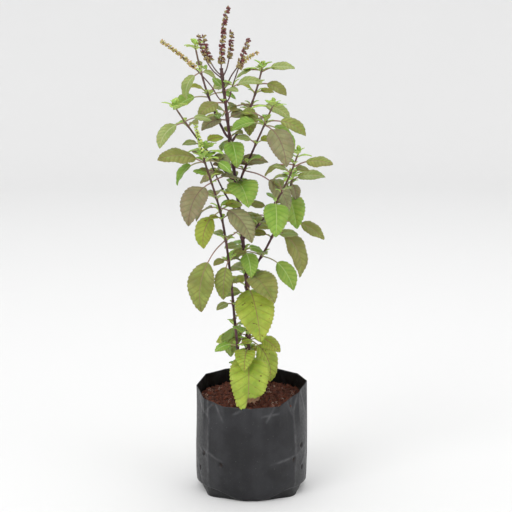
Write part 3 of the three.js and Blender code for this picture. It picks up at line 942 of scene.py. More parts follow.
@dataclass
class GrowBag:
    """The film bag: a thin wall with a wavy rim, gusset creases, a tucked foot and drain holes."""

    columns: int = 300
    wall_rows: int = 84
    film: float = 0.4
    rim_corners: int = 12
    foot_radius: float = 58.5
    foot_corner: float = 6.0
    corner_lift: float = 10.5
    fold_depth: float = 2.6
    corner_breadth: float = 13.0
    face_pull: float = 5.0
    edge_rounding: float = 0.8
    tuck_height: float = 7.0
    lean_from: float = 0.5
    swell: float = 0.35
    hole_depth: float = 2.3
    hole_edge: tuple[float, float] = (2.9, 1.6)
    foot_shares: tuple[float, ...] = (0.04, 0.35, 0.7, 0.93, 1.0)
    fold_shares: tuple[float, ...] = (0.3, 0.65, 0.94)
    drain_holes: tuple[tuple[float, float], ...] = (
        (212, 52), (203, 31), (237, 43), (332, 60), (318, 47), (334, 33), (62, 48), (118, 36),
    )

    def __post_init__(self) -> None:
        """Take the bag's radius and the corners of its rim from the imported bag."""
        low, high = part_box("grow_bag")
        self.radius = (high.y - low.y) / 2 / MM + 0.3
        points = np.array([v.co[:] for v in frame["nodes"]["grow_bag"].data.vertices]) / MM
        sides = np.degrees(np.arctan2(points[:, 1], points[:, 0]))
        self.corners = []
        for side in np.arange(self.rim_corners + 1) * 360 / self.rim_corners:
            near = points[np.abs(turned_from(sides, side)) < 2]
            top = near[near[:, 2] > near[:, 2].max() - 0.5]
            outer = top[np.hypot(top[:, 0], top[:, 1]).argmax()]
            self.corners.append(outer)
        self.corners = np.array(self.corners)

    def rim(self, angles: Array) -> tuple[Array, Array]:
        """Radius and height of the rim, which runs straight from one corner to the next."""
        turned = angles % 360
        index = np.clip((turned * self.rim_corners / 360).astype(int), 0, self.rim_corners - 1)
        start, step = self.corners[index], self.corners[index + 1] - self.corners[index]
        turn = np.radians(turned)
        across = start[:, 0] * np.sin(turn) - start[:, 1] * np.cos(turn)
        share = across / (step[:, 1] * np.cos(turn) - step[:, 0] * np.sin(turn))
        place = start + step * share[:, None]
        return np.hypot(place[:, 0], place[:, 1]), place[:, 2]

    def wall_radius(self, angles: Array, heights: Array) -> Array:
        """The film's outside radius in millimetres, before folds."""
        top, rim = self.rim(angles)
        lean = smooth(heights / rim, self.lean_from, 1.0) ** 1.4
        return self.radius * (1 - lean) + top * lean

    def edge(self, angles: Array) -> tuple[Array, Array]:
        """Radius and height of the lower edge, which lifts at the bag's sides."""
        sideways = np.abs(np.cos(np.radians(angles)))
        lift = self.corner_lift * smooth(sideways, 0.1, 0.75) + self.edge_rounding
        pull = self.face_pull * (1 - sideways) + self.edge_rounding
        return self.radius - pull, lift

    def surface(self, inset: float) -> tuple[Array, dict[str, Array]]:
        """The film's surface as rows from the foot's middle to the rim.

        Args:
            inset: How far inside the outer face, in millimetres.

        Returns:
            The points in millimetres, rows by columns by 3, and the finish's masks.
        """
        angles = np.linspace(0, 360, self.columns, endpoint=False)
        foot = np.full(self.columns, self.foot_radius)
        for corner in GUSSETS:
            off = turned_from(angles, corner)
            foot = foot + self.foot_corner * np.exp(-((off / self.corner_breadth) ** 2))
        edge_radius, edge_height = self.edge(angles)
        rim = self.rim(angles)[1]
        rows_r, rows_z = [], []
        for share in self.foot_shares:
            rows_r.append(foot * share)
            rows_z.append(0.0 * foot)
        fold = self.fold_depth * smooth(edge_height, 2.0, 8.0)
        for share in self.fold_shares:
            rows_r.append(foot + (edge_radius - fold - foot) * share)
            rows_z.append(edge_height * share)
        for share in np.linspace(0, 1, self.wall_rows):
            height = edge_height + (rim - edge_height) * share
            tuck = np.exp(-(height - edge_height) / self.tuck_height) * (self.radius - edge_radius)
            rows_r.append(self.wall_radius(angles, height) - tuck)
            rows_z.append(height)
        radii, heights = np.array(rows_r), np.array(rows_z)
        grid = np.broadcast_to(angles, radii.shape)
        # Crease marks: real whitening of the film and painted highlights along each crease.
        crease_wear_and_highlight = np.zeros_like(radii)
        standing = smooth(heights, 1.0, 12.0)
        for crease in CREASES:
            push, near = crease.press(grid, heights, self.radius)
            radii = radii + push * standing
            crease_wear_and_highlight = np.maximum(crease_wear_and_highlight, near * standing)
        swell = np.sin(grid / 23.0 + heights / 31.0) + np.sin(grid / 11.0 - heights / 19.0) * 0.6
        radii = radii + self.swell * swell * standing
        hole = np.zeros_like(radii)
        for side, height in self.drain_holes:
            around = np.radians(turned_from(grid, side)) * self.radius
            away = np.hypot(around, (heights - height) * 0.8)
            hole = np.maximum(hole, smooth(away, *self.hole_edge))
        radii = radii - self.hole_depth * hole - inset
        heights = heights + np.where(heights < inset, inset, 0.0)
        sideways = np.abs(np.cos(np.radians(grid)))
        # Dust near the rim, and painted sheen on the bag's left and right sides.
        handled = 0.15 + 0.5 * smooth(heights / rim, 0.75, 1.0) + 0.6 * smooth(sideways, 0.55, 0.95)
        # Painted shade under the lifted lower edge: the foot's outer ring and the fold rows.
        tucked = np.zeros_like(radii)
        edge_row = len(self.foot_shares) + len(self.fold_shares)
        tucked[len(self.foot_shares) - 1:edge_row] = 1.0
        # Painted highlight along the lower edge where it lifts and folds at the sides.
        edge_highlight = smooth(sideways, 0.35, 0.75)
        for row in (edge_row, edge_row - 1):
            crease_wear_and_highlight[row] = np.maximum(crease_wear_and_highlight[row], 0.8 * edge_highlight[row])
        turn = np.radians(grid)
        points = np.stack([radii * np.cos(turn), radii * np.sin(turn), heights], axis=-1)
        marks = {"crease": crease_wear_and_highlight, "handled": np.clip(handled, 0, 1), "hole": hole, "tucked": tucked}
        return points, marks

    def build(self, finish: FilmFinish) -> None:
        """Build and dress the bag."""
        outer, marks = self.surface(0.0)
        inner, _ = self.surface(self.film)
        rows = outer.shape[0]
        rings = np.concatenate([outer, inner[::-1]]) * MM
        faces = wrap_faces(2 * rows, self.columns)
        faces.append(list(range(self.columns))[::-1])
        faces.append([(2 * rows - 1) * self.columns + c for c in range(self.columns)])
        spread = {name: np.concatenate([value, value[::-1]]).ravel() for name, value in marks.items()}
        spread["inner"] = np.repeat([0.0, 1.0], rows * self.columns)
        draft = Draft()
        draft.add(rings.reshape(-1, 3), faces, **spread)
        bag = draft.piece("bag_film_shell", finish.material())
        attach(bag, BODY)
        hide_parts("grow_bag")


# ------------------------------------------------------------------ potting mix


@dataclass
class PottingMix:
    """Cocopeat: a lumpy body that fills the bag, and loose crumbs over its top."""

    bag: GrowBag
    gap: float = 2.8
    lumps: float = 1.5
    crumb: float = 3.0
    crumbs_per_area: float = 120000.0
    floor: float = 14.0
    foot_tuck: float = 3.0
    columns: int = 160
    wall_rows: int = 30
    top_rows: int = 34

    def body(self, material: bpy.types.Material) -> bpy.types.Object:
        """The solid body of the mix."""
        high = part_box("potting_mix")[1]
        columns, surface = self.columns, high.z / MM - 1.4
        angles = np.linspace(0, 360, columns, endpoint=False)
        turn = np.radians(angles)
        rows = []
        for height in np.linspace(self.floor, surface, self.wall_rows):
            heights = np.full(columns, height)
            radius = self.bag.wall_radius(angles, heights) - self.gap
            radius = radius - self.foot_tuck * math.exp(-(height - self.floor) / 6)
            rows.append(np.stack([radius * np.cos(turn), radius * np.sin(turn), heights], axis=-1))
        rim = self.bag.wall_radius(angles, np.full(columns, surface)) - self.gap
        for share in np.linspace(0.985, 0.02, self.top_rows):
            x, y = rim * share * np.cos(turn), rim * share * np.sin(turn)
            bumps = np.sin(x / 2.9 + 2 * np.sin(y / 5)) * np.cos(y / 2.3 + np.sin(x / 4)) * self.lumps * 0.6
            mound = 1.6 * (1 - share**2) + 1.5 * smooth(y, -20, 60) + 0.8 * np.sin(x / 13) * np.cos(y / 11)
            rows.append(np.stack([x, y, surface + bumps + mound], axis=-1))
        rings = np.array(rows) * MM
        draft = Draft()
        add_tube(draft, rings, shade=0.25)
        mix = draft.piece("potting_mix_body", material)
        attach(mix, BODY)
        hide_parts("potting_mix")
        return mix

    def crumb_shape(self) -> bpy.types.Object:
        """One rough crumb."""
        shape = bmesh.new()
        bmesh.ops.create_icosphere(shape, subdivisions=1, radius=self.crumb * MM)
        for vert in shape.verts:
            x, y, z = vert.co / (self.crumb * MM)
            vert.co *= 1 + 0.3 * math.sin(3.1 * x + 5.3 * y) + 0.22 * math.cos(4.7 * z - 2.2 * x)
            vert.co.z *= 0.62
            vert.co.x *= 1.25
        mesh = bpy.data.meshes.new("crumb")
        shape.to_mesh(mesh)
        shape.free()
        return bpy.data.objects.new("crumb", mesh)

    def build(self, finish: SoilFinish) -> None:
        """Build the body and its crumbs."""
        material = finish.material()
        mix = self.body(material)
        top = bmesh.new()
        top.from_mesh(mix.data)
        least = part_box("potting_mix")[1].z - 3 * MM
        low = [f for f in top.faces if f.calc_center_median().z < least or f.normal.z < 0.4]
        bmesh.ops.delete(top, geom=low, context="FACES")
        cover = bpy.data.meshes.new("mix_top")
        top.to_mesh(cover)
        top.free()
        crumb = self.crumb_shape()
        crumbs = scattered(
            "potting_mix_crumbs", scatter_tree("crumb_scatter", True), cover, Copy=crumb, Finish=material,
            Density=self.crumbs_per_area, Least=0.35, Most=1.0, Seed=7,
        )
        bpy.data.objects.remove(crumb)
        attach(crumbs, BODY)


# ------------------------------------------------------------------ stems


@dataclass
class Stem:
    """A stem or a spike's stalk: squarish, swollen where leaves leave it."""

    spine: Spine
    carrier: Spine | None = None
    sides: int = 12
    step: float = 1.6
    swelling: float = 0.42
    root: float = 14.0
    foot_flare: float = 1.25
    joint_reach: float = 2.2
    squareness: float = 0.07
    ripple: float = 0.04

    def path(self) -> tuple[Array, Array]:
        """The spine's points and radii, carried on into the soil or into the stem below."""
        points, radii = self.spine.points, self.spine.radii
        if self.carrier is None:
            foot = points[0].copy()
            foot[2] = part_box("potting_mix")[1].z - self.root * MM
            return np.vstack([foot, points]), np.append(radii[0] * self.foot_flare, radii)
        share, _ = self.carrier.nearest(points[0])
        place, _, _ = self.carrier.at(np.array([max(share - 0.006, 0)]))
        return np.vstack([place[0], points]), np.append(radii[0], radii)

    def draw(self, draft: Draft, age_from: float, age_to: float) -> None:
        """Add the stem to a draft.

        Args:
            draft: The mesh to add it to.
            age_from: The finish's age value at the foot.
            age_to: The same at the tip.
        """
        points, radii = self.path()
        knots, length = run_of(points)
        shares = np.linspace(0, 1, max(12, int(length / (self.step * MM))))
        places, tangents = through(points, shares)
        girth = np.interp(shares, knots, radii)
        offset = 1 - self.spine.length / length
        swollen = np.zeros_like(girth)
        reach = self.joint_reach * MM / length
        for joint in self.spine.joints:
            middle = offset + joint * (1 - offset)
            swollen = np.maximum(swollen, np.exp(-(((shares - middle) / reach) ** 2)))
        girth = girth * (1 + self.swelling * swollen)
        across, upward = transported(tangents)
        turn = np.linspace(0, math.tau, self.sides, endpoint=False)
        square = 1 + self.squareness * np.cos(4 * turn)
        ripple = 1 + self.ripple * np.sin(shares[:, None] * 90 + turn * 2)
        radius = (girth[:, None] * square * ripple)[..., None]
        rings = places[:, None] + radius * (
            np.cos(turn)[None, :, None] * across[:, None] + np.sin(turn)[None, :, None] * upward[:, None]
        )
        add_tube(draft, rings, age=age_from + (age_to - age_from) * shares)


# ------------------------------------------------------------------ leaves


@dataclass
class Leaf:
    """One leaf: a toothed, quilted blade on a rounded stalk."""

    spine: LeafSpine
    seed: int
    stalk_width: float = 1.15
    thickness: float = 0.34
    fold: float = 0.12
    tooth_length: float = 4.4
    tooth_share: float = 0.095
    vein_slant: float = 0.95
    vein_curve: float = 0.012
    quilting: float = 0.014
    waviness: float = 0.055
    eaten: bool = False
    eaten_from: float = 0.42

    def outline(self, along: Array) -> Array:
        """Half-width of the blade as a share of its widest."""
        along = np.clip(along, 0, 1)
        whole = np.sin(np.pi * along**0.8) ** 0.78
        if not self.eaten:
            return whole
        narrowed = 1 - 0.42 * smooth(along, self.eaten_from, 1.05) ** 1.3
        return np.where(along < self.eaten_from, whole, narrowed)

    def draw(self, draft: Draft) -> None:
        """Add the leaf to a draft, with its own coordinates for the venation."""
        spine, chance = self.spine, np.random.default_rng(self.seed)
        blade, stalk, half = spine.blade / MM, spine.stalk / MM, spine.width / MM / 2
        teeth = int(np.clip(blade / self.tooth_length, 4, 16))
        pitch = blade / chance.uniform(6.5, 8.0)
        columns = int(np.clip(half / 1.3, 3, 12))
        v = np.linspace(-1, 1, 2 * columns + 1)
        v = np.sign(v) * np.abs(v) ** 0.85
        rows_stalk = max(4, int(stalk / 2.2))
        rows_blade = max(16, teeth * 6)
        stalk_rows = -np.linspace(1, 1 / rows_stalk, rows_stalk)
        along = np.concatenate([stalk_rows, np.linspace(0, 1, rows_blade)])
        reach = np.where(along < 0, stalk * (1 + along), stalk + blade * along) / (stalk + blade)
        knots, _ = run_of(spine.points)
        places, tangents = through(spine.points, reach)
        sides = between(reach, knots, spine.sides)
        sides = unit(sides - tangents * (sides * tangents).sum(axis=1, keepdims=True))
        tops = np.cross(sides, tangents)
        on_blade = along > 0
        shape = np.where(on_blade, self.outline(along), 0.0)
        notch = (np.clip(along, 0, 1) * teeth) % 1.0
        toothed = smooth(along, 0.04, 0.14)
        ended = smooth(along, 1.0, 0.9)
        tooth = (notch**0.75) * (1 - smooth(notch, 0.86, 1.0)) * toothed * ended
        depth = np.clip(self.tooth_share * half, 0.35, 1.9)
        stalk_half = self.stalk_width / 2 * (0.75 + 0.25 * np.clip(blade / 40, 0, 1))
        widths = np.maximum(half * shape, stalk_half * (1 - 0.75 * smooth(along, 0.0, 0.95)))
        margin = widths + depth * (tooth - 0.4 * toothed * ended) * on_blade
        side_bias = 1 + 0.05 * chance.uniform(-1, 1) * np.sign(v)[None, :]
        x = v[None, :] * margin[:, None] * side_bias
        pulled, withered = self.eaten_tip(along, v)
        size = np.abs(v)[None, :]
        across = np.abs(x)
        forward_mm = along[:, None] * blade
        lane = (forward_mm - self.vein_slant * across + self.vein_curve * across**2) / pitch
        bulge = np.abs(np.sin(np.pi * lane)) ** 0.8
        window = smooth(size, 0.02, 0.3) * smooth(size, 1.0, 0.75)
        quilt = self.quilting * blade * bulge * window * smooth(along, 0.03, 0.2)[:, None]
        rippled = along[:, None] * chance.uniform(1.6, 2.6) + chance.uniform()
        wave = self.waviness * half * np.sin(math.tau * rippled)
        wave = wave * np.sign(v)[None, :] * size**2 * on_blade[:, None]
        droop = -chance.uniform(0.05, 0.26) * half * size**3 * shape[:, None]
        groove = -0.25 * np.exp(-((across / 0.7) ** 2)) * on_blade[:, None]
        fold = self.fold + chance.uniform(-0.04, 0.3)
        raise_ = fold * across * on_blade[:, None] + quilt + wave + droop + groove
        sway = 0.03 * blade * np.sin(math.pi * np.clip(along, 0, 1)) * chance.uniform(-1, 1)
        x = x + sway[:, None]
        curl = withered**2 * (2.2 + 1.4 * np.sin(v * 9))
        raise_ = raise_ + curl
        rib = 0.55 * np.exp(-((across / 0.75) ** 2)) * (1 - 0.8 * np.clip(along, 0, 1))[:, None]
        round_stalk = 0.5 + 0.65 * np.sqrt(np.maximum(1 - size**2, 0))
        body = np.where(on_blade[:, None], self.thickness, round_stalk)
        place = places[:, None] + x[..., None] * sides[:, None] * MM
        place = place - (pulled * spine.blade)[..., None] * tangents[:, None]
        top = place + (raise_ + body / 2)[..., None] * tops[:, None] * MM
        under = place + (raise_ - body / 2 - rib)[..., None] * tops[:, None] * MM
        full = np.ones_like(x)
        add_sheet(
            draft, top, under, lane=lane, across=across, along=along[:, None] * full, pitch=pitch * full,
            wither=np.clip(withered, 0, 1), tint=chance.uniform() * full, edge=size * on_blade[:, None],
        )

    def eaten_tip(self, along: Array, v: Array) -> tuple[Array, Array]:
        """How far the tip is eaten back, as a share of the blade, and where it has withered."""
        full = np.zeros((len(along), len(v)))
        if not self.eaten:
            return full, full
        side = smooth(-v, -0.3, 0.05)
        ragged = 0.012 * np.sin(v * 17 + 1) + 0.008 * np.sin(v * 41)
        eaten_back = 0.1 * side + ragged + 0.05 * smooth(np.abs(v), 0.55, 1.0)
        pulled = eaten_back[None, :] * smooth(along[:, None], 0.7, 1.0)
        withered = side[None, :] * smooth(along[:, None], 0.87 + ragged[None, :], 0.93)
        return pulled, withered


# ------------------------------------------------------------------ the plant


@dataclass
class Plant:
    """All that grew: stems, leaves, growing tips and flower spikes."""

    stems: dict[str, Spine] = field(default_factory=dict)
    finishes: dict[Tone, bpy.types.Material] = field(default_factory=dict)
    facing: float = 40.0
    same_joint: float = 0.012
    joint_gap: float = 26.0
    lead: float = 1.6
    tip_blades: tuple[float, ...] = (19.0, 15.0, 11.0, 7.0)
    tufted_joints: int = 16
    rooted: tuple[str, ...] = ("main", "left")

    def __post_init__(self) -> None:
        """Read every stem and spike, and make the leaf materials."""
        for node in frame["nodes"]:
            if node.startswith("stem_"):
                self.stems[node.removeprefix("stem_")] = Spine.read(node)
            elif node.startswith("flower_spike_"):
                self.stems["spike_" + node.removeprefix("flower_spike_")] = Spine.read(node)
        self.finishes = {finish.tone: finish.material() for finish in LEAF_FINISHES}
        self.slots = {entry["node"]: entry["material_slot"] for entry in frame["record"]["subparts"]}

    def carrier_of(self, place: Array, own: str = "") -> tuple[str, float]:
        """The stem nearest to a place, and the share along it."""
        found = {name: spine.nearest(place) for name, spine in self.stems.items() if name != own}
        name = min(found, key=lambda key: found[key][1])
        return name, found[name][0]

    def lead_in(self, spine: LeafSpine) -> LeafSpine:
        """Start a leaf's stalk a little deeper, so that it grows out of its stem."""
        ahead = unit(spine.points[1] - spine.points[0])
        foot = spine.points[0] - ahead * self.lead * MM
        return LeafSpine(
            np.vstack([foot, spine.points]), np.vstack([spine.sides[:1], spine.sides]),
            np.vstack([spine.tops[:1], spine.tops]), spine.stalk + self.lead * MM, spine.blade, spine.width,
        )

    def big_leaves(self) -> None:
        """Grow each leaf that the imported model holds."""
        nodes = sorted(node for node in frame["nodes"] if node.startswith("leaf_"))
        for seed, node in enumerate(nodes):
            spine = LeafSpine.read(node)
            name, share = self.carrier_of(spine.points[0])
            self.stems[name].joints.append(share)
            eaten = node == "leaf_front_largest"
            draft = Draft()
            Leaf(self.lead_in(spine), seed, eaten=eaten).draw(draft)
            tone = Tone(self.slots[node])
            made = draft.piece(node.replace("leaf_", "blade_"), self.finishes[tone])
            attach(made, BODY)
            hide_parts(node)
        log.info("big leaves: %d", len(nodes))

    def finish_leaves(self, title: str, drafts: dict[Tone, Draft]) -> None:
        """Make one piece of each tone's leaves."""
        for tone in Tone:
            if tone in drafts:
                made = drafts[tone].piece(title + "_" + tone.value, self.finishes[tone])
                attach(made, BODY)

    def pair_leaves(self) -> None:
        """Give every large leaf its opposite on the far side of the joint, where that side is free."""
        chance = np.random.default_rng(33)
        drafts: dict[Tone, Draft] = {}
        nodes = sorted(node for node in frame["nodes"] if node.startswith("leaf_"))
        large = {node: LeafSpine.read(node) for node in nodes}
        count = 0
        for node, spine in large.items():
            name, share = self.carrier_of(spine.points[0])
            foot = self.stems[name].at(np.array([share]))[0][0]
            out = unit(spine.points[-1] - spine.points[0])
            taken = any(
                np.linalg.norm(other.points[0] - foot) < self.same_joint
                and float(unit(other.points[-1] - other.points[0])[:2] @ -out[:2]) > 0.3
                for other in large.values()
            )
            size, rise = chance.uniform(0.55, 0.8), chance.uniform(10, 40)
            bend, sway, roll = chance.uniform(45, 80), chance.uniform(-20, 20), chance.uniform(-20, 20)
            if taken:
                continue
            heading = math.degrees(math.atan2(-out[1], -out[0])) + sway
            grown = LeafSpine.grown(
                foot, heading, spine.stalk * 1.2, spine.blade * size, spine.width * size, rise, rise - bend,
                self.facing * math.cos(math.radians(heading)) + roll,
            )
            Leaf(grown, 700 + count).draw(drafts.setdefault(Tone(self.slots[node]), Draft()))
            count += 1
        self.finish_leaves("pair", drafts)
        log.info("leaves opposite the large ones: %d", count)

    def side_leaves(self) -> None:
        """Grow crossed pairs of smaller leaves up every shoot, smaller towards its tip."""
        chance = np.random.default_rng(12)
        drafts: dict[Tone, Draft] = {}
        count = 0
        for name, stem in self.stems.items():
            if name.startswith("spike_"):
                continue
            joints = int(stem.length / (self.joint_gap * MM))
            for order in range(1, joints):
                share = order / joints
                stem.joints.append(share)
                foot = stem.at(np.array([share]))[0][0]
                for side in (0, 180):
                    heading = 25 + 90 * (order % 2) + side + chance.uniform(-20, 20)
                    blade = (26 - 10 * share) * chance.uniform(0.75, 1.2)
                    rise = 25 + 25 * share + chance.uniform(-15, 15)
                    tone = (Tone.GREEN, Tone.LIME, Tone.OLIVE, Tone.PALE)[chance.integers(4)]
                    grown = LeafSpine.grown(
                        foot, heading, (blade * 0.3 + 2) * MM, blade * MM, 0.54 * blade * MM, rise,
                        rise - chance.uniform(40, 75), self.facing * math.cos(math.radians(heading)),
                    )
                    Leaf(grown, 100 + count).draw(drafts.setdefault(tone, Draft()))
                    count += 1
        self.finish_leaves("side", drafts)
        log.info("side leaves: %d", count)

    def growing_tips(self) -> None:
        """Grow the young pairs at the shoots' tips and the tufts where leaves leave the stems."""
        chance = np.random.default_rng(21)
        draft, count = Draft(), 0
        for name, stem in self.stems.items():
            if name.startswith("spike_") or name == "main":
                continue
            tip, tangent, _ = (part[0] for part in stem.at(np.array([1.0])))
            turn = chance.uniform(0, 180)
            for pair, blade in enumerate(self.tip_blades):
                foot = tip + tangent * (pair * 2.2 - 5) * MM
                for side in (0, 180):
                    heading = turn + side + pair * 90 + chance.uniform(-15, 15)
                    rise = 30 + 16 * pair + chance.uniform(-10, 10)
                    size = blade * chance.uniform(0.8, 1.15)
                    spine = LeafSpine.grown(
                        foot, heading, 0.2 * size * MM, size * MM, 0.68 * size * MM, rise, rise - 50,
                    )
                    Leaf(spine, 300 + count, stalk_width=0.9, thickness=0.28).draw(draft)
                    count += 1
        for name, stem in self.stems.items():
            for joint in sorted(stem.joints)[:self.tufted_joints]:
                place, _, radius = (part[0] for part in stem.at(np.array([joint])))
                turn = chance.uniform(0, 360)
                for side in (0, 180):
                    size = chance.uniform(6.0, 11.0)
                    heading = turn + side
                    rise = chance.uniform(45, 75)
                    spine = LeafSpine.grown(
                        place + level(heading) * radius * 0.6, heading, 0.3 * size * MM, size * MM,
                        0.72 * size * MM, rise, rise - 60,
                    )
                    Leaf(spine, 300 + count, stalk_width=0.8, thickness=0.28).draw(draft)
                    count += 1
        made = draft.piece("growing_tips", YOUNG_FINISH.material())
        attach(made, BODY)
        log.info("growing tips and tufts: %d leaflets", count)

    def woody_parts(self, finish: StemFinish) -> None:
        """Build every stem and every spike's stalk."""
        material = finish.material()
        ages = {"main": (0.0, 0.62), "left": (0.12, 0.7)}
        for name, spine in self.stems.items():
            if name not in self.rooted:
                own, share = self.carrier_of(spine.points[0], name)
                self.stems[own].joints.append(share)
        for name, spine in self.stems.items():
            spike = name.startswith("spike_")
            carrier = None
            if name not in self.rooted:
                carrier = self.stems[self.carrier_of(spine.points[0], name)[0]]
            shown = spine
            if spike:
                stalk = np.minimum(spine.radii, 0.8 * MM) * np.linspace(1, 0.5, len(spine.radii))
                shown = Spine(name, spine.points, stalk)
            draft = Draft()
            low, high = ages.get(name, (0.3, 0.85)) if not spike else (0.5, 0.9)
            Stem(shown, carrier).draw(draft, low, high)
            title = ("stalk_" + name.removeprefix("spike_")) if spike else "shoot_" + name
            made = draft.piece(title, material)
            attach(made, BODY)
            if not spike:
                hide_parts("stem_" + name)
        log.info("stems and stalks: %d", len(self.stems))


@dataclass
class FlowerSpikes:
    """Whorls of flower cups up every spike."""

    plant: Plant
    per_whorl: int = 7
    cup: float = 2.7
    pitch: float = 4.9
    young_pitch: float = 4.0
    fullest_ring: float = 4.6
    tender_node: str = "flower_spike_left_young"

    def cup_shape(self) -> bpy.types.Object:
        """One flower cup: a short stalk, a nodding bell and a raised upper lip."""
        rows = [(0.0, 0.08), (0.4, 0.08), (0.55, 0.3), (0.8, 0.46), (1.05, 0.44), (1.25, 0.48)]
        turn = np.linspace(0, math.tau, 7, endpoint=False)
        rings = []
        for height, radius in rows:
            flare = 1 + 0.3 * smooth(height, 1.0, 1.4) * np.cos(turn)
            lift = 0.25 * smooth(height, 1.0, 1.4) * np.cos(turn)
            nod = 0.12 * height**2
            rings.append(np.stack(
                [radius * flare * np.cos(turn) + nod, radius * np.sin(turn), height + lift], axis=-1
            ))
        rings.append(np.stack([0.2 * np.cos(turn) + 0.22, 0.2 * np.sin(turn), np.full(7, 1.2)], axis=-1))
        draft = Draft()
        add_tube(draft, np.array(rings) * self.cup * MM)
        mesh_object = draft.piece("flower_cup", bpy.data.materials.new("cup_stand_in"))
        bpy.context.scene.collection.objects.unlink(mesh_object)
        return mesh_object

    def build(self, finishes: dict[str, FlowerFinish]) -> None:
        """Set the cups round each spike's swellings."""
        tree, cup = scatter_tree("whorl_scatter", False), self.cup_shape()
        materials = {slot: finish.material() for slot, finish in finishes.items()}
        tender = TENDER_FINISH.material()
        chance = np.random.default_rng(5)
        total = 0
        for name, spine in self.plant.stems.items():
            if not name.startswith("spike_"):
                continue
            node = "flower_spike_" + name.removeprefix("spike_")
            slot = self.plant.slots[node]
            knots, length = run_of(spine.points)
            wide = spine.radii
            peaks = [
                k for k in range(1, len(knots) - 1)
                if wide[k] > wide[k - 1] * 1.2 and wide[k] > wide[k + 1] * 1.2
            ]
            young = slot == "flower_young"
            pitch = (self.young_pitch if young else self.pitch) * MM / length
            shares = np.arange(knots[peaks[0]], 1.0, pitch)
            swells = np.interp(shares, knots[peaks], spine.radii[peaks]) / (self.fullest_ring * MM)
            places, aims, sizes = [], [], []
            for order, (share, ripe) in enumerate(zip(shares, swells)):
                place, forward, _ = (part[0] for part in spine.at(np.array([share])))
                across = unit(np.cross(forward, [0.3, 1.0, 0.2]))
                upward = np.cross(forward, across)
                for c in range(self.per_whorl):
                    turn = math.tau * (c + 0.5 * (order % 2)) / self.per_whorl
                    turn += chance.uniform(-0.25, 0.25)
                    out = across * math.cos(turn) + upward * math.sin(turn)
                    places.append(place + forward * chance.uniform(-1.3, 1.3) * MM)
                    aims.append(unit(out + forward * chance.uniform(0.1, 0.95)))
                    sizes.append((0.5 + 0.75 * ripe) * chance.uniform(0.85, 1.15))
            base = points_mesh(name + "_whorls", np.array(places), np.array(aims), np.array(sizes))
            made = scattered(
                "flowers_" + name.removeprefix("spike_"), tree, base, Copy=cup,
                Finish=tender if node == self.tender_node else materials[slot], Seed=3,
            )
            total += len(places)
            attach(made, BODY)
            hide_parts(node)
        bpy.data.objects.remove(cup)
        log.info("flower cups: %d", total)


FLOWER_FINISHES = {
    "flower_purple": FlowerFinish(
        "flower_purple", cup=srgb(122, 66, 66), lip=srgb(166, 154, 96), shade=srgb(84, 42, 48)
    ),
    "flower_young": FlowerFinish(
        "flower_young", cup=srgb(196, 190, 116), lip=srgb(204, 172, 116), shade=srgb(164, 136, 88)
    ),
}
TENDER_FINISH = FlowerFinish(
    "flower_tender", cup=srgb(190, 212, 104), lip=srgb(214, 226, 132), shade=srgb(150, 180, 78)
)


# ------------------------------------------------------------------ studio


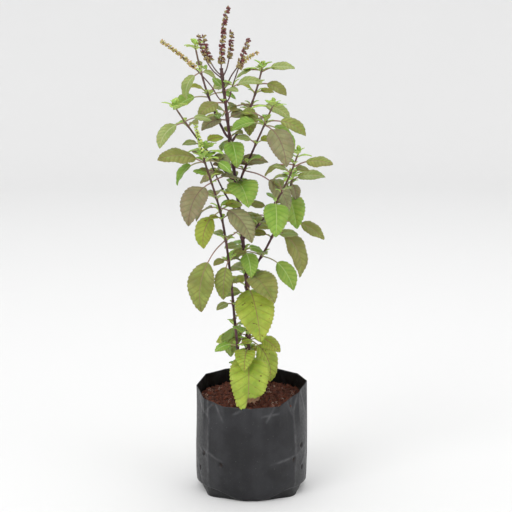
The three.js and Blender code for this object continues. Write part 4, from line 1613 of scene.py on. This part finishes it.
@dataclass
class Studio:
    """A pale floor that curves up all round, soft lights and the camera."""

    camera_at: tuple[float, float, float] = (0.0054, -1.72, 0.586)
    look_down: float = 9.94
    lens: float = 103.0
    paper: float = 0.84
    daylight: float = 0.94

    def floor(self) -> None:
        """A pale round floor that curves up to a low wall on every side."""
        level_to, curve, top, columns = 3.0, 0.8, 1.8, 64
        profile = [(0.02, 0.0), (level_to, 0.0)]
        for a in np.linspace(0.15, math.pi / 2, 10):
            profile.append((level_to + curve * math.sin(a), curve - curve * math.cos(a)))
        profile.append((level_to + curve, top))
        turn = np.linspace(0, math.tau, columns, endpoint=False)
        verts = [(r * math.cos(a), r * math.sin(a), z) for r, z in profile for a in turn]
        faces = wrap_faces(len(profile), columns)
        faces.append(list(range(columns)))
        mesh = bpy.data.meshes.new("studio_floor")
        mesh.from_pydata(verts, [], faces)
        mesh.shade_smooth()
        material, weave, shader = plain_material("studio_paper")
        weave.feed(shader.inputs["Base Color"], (self.paper, self.paper, self.paper, 1.0))
        shader.inputs["Roughness"].default_value = 0.9
        mesh.materials.append(material)
        sheet = bpy.data.objects.new("studio_floor", mesh)
        bpy.context.scene.collection.objects.link(sheet)

    def light(self, name: str, place: tuple[float, float, float], size: float, power: float) -> None:
        """One soft square light that faces the plant."""
        data = bpy.data.lights.new(name, "AREA")
        data.shape, data.size, data.energy = "SQUARE", size, power
        lamp = bpy.data.objects.new(name, data)
        lamp.location = place
        lamp.rotation_euler = (Vector((0, 0, 0.3)) - Vector(place)).to_track_quat("-Z", "Y").to_euler()
        bpy.context.scene.collection.objects.link(lamp)

    def build(self) -> None:
        """Set up the whole studio."""
        self.floor()
        self.light("key_light", (-1.5, -1.9, 2.3), 1.5, 26.0)
        self.light("fill_light", (1.9, -1.5, 1.2), 1.6, 8.0)
        self.light("back_light", (0.3, 1.0, 2.4), 1.4, 8.0)
        world = bpy.data.worlds.new("studio_air")
        world.use_nodes = True
        world.node_tree.nodes["Background"].inputs["Color"].default_value = (1.0, 1.0, 1.0, 1.0)
        world.node_tree.nodes["Background"].inputs["Strength"].default_value = self.daylight
        bpy.context.scene.world = world
        bpy.context.scene.view_settings.view_transform = "Standard"
        data = bpy.data.cameras.new("camera")
        data.lens, data.sensor_width = self.lens, 36.0
        camera = bpy.data.objects.new("camera", data)
        camera.location = self.camera_at
        camera.rotation_euler = (math.radians(90 - self.look_down), 0.0, 0.0)
        bpy.context.scene.collection.objects.link(camera)
        bpy.context.scene.camera = camera


def main() -> None:
    """Build every piece in order."""
    logging.basicConfig(level=logging.INFO, format="%(name)s: %(message)s")
    Studio().build()
    bag = GrowBag()
    bag.build(FilmFinish())
    log.info("grow bag")
    PottingMix(bag).build(SoilFinish())
    log.info("potting mix")
    plant = Plant()
    plant.big_leaves()
    plant.pair_leaves()
    plant.side_leaves()
    plant.woody_parts(StemFinish())
    plant.growing_tips()
    FlowerSpikes(plant).build(FLOWER_FINISHES)


if __name__ == "__main__":
    main()
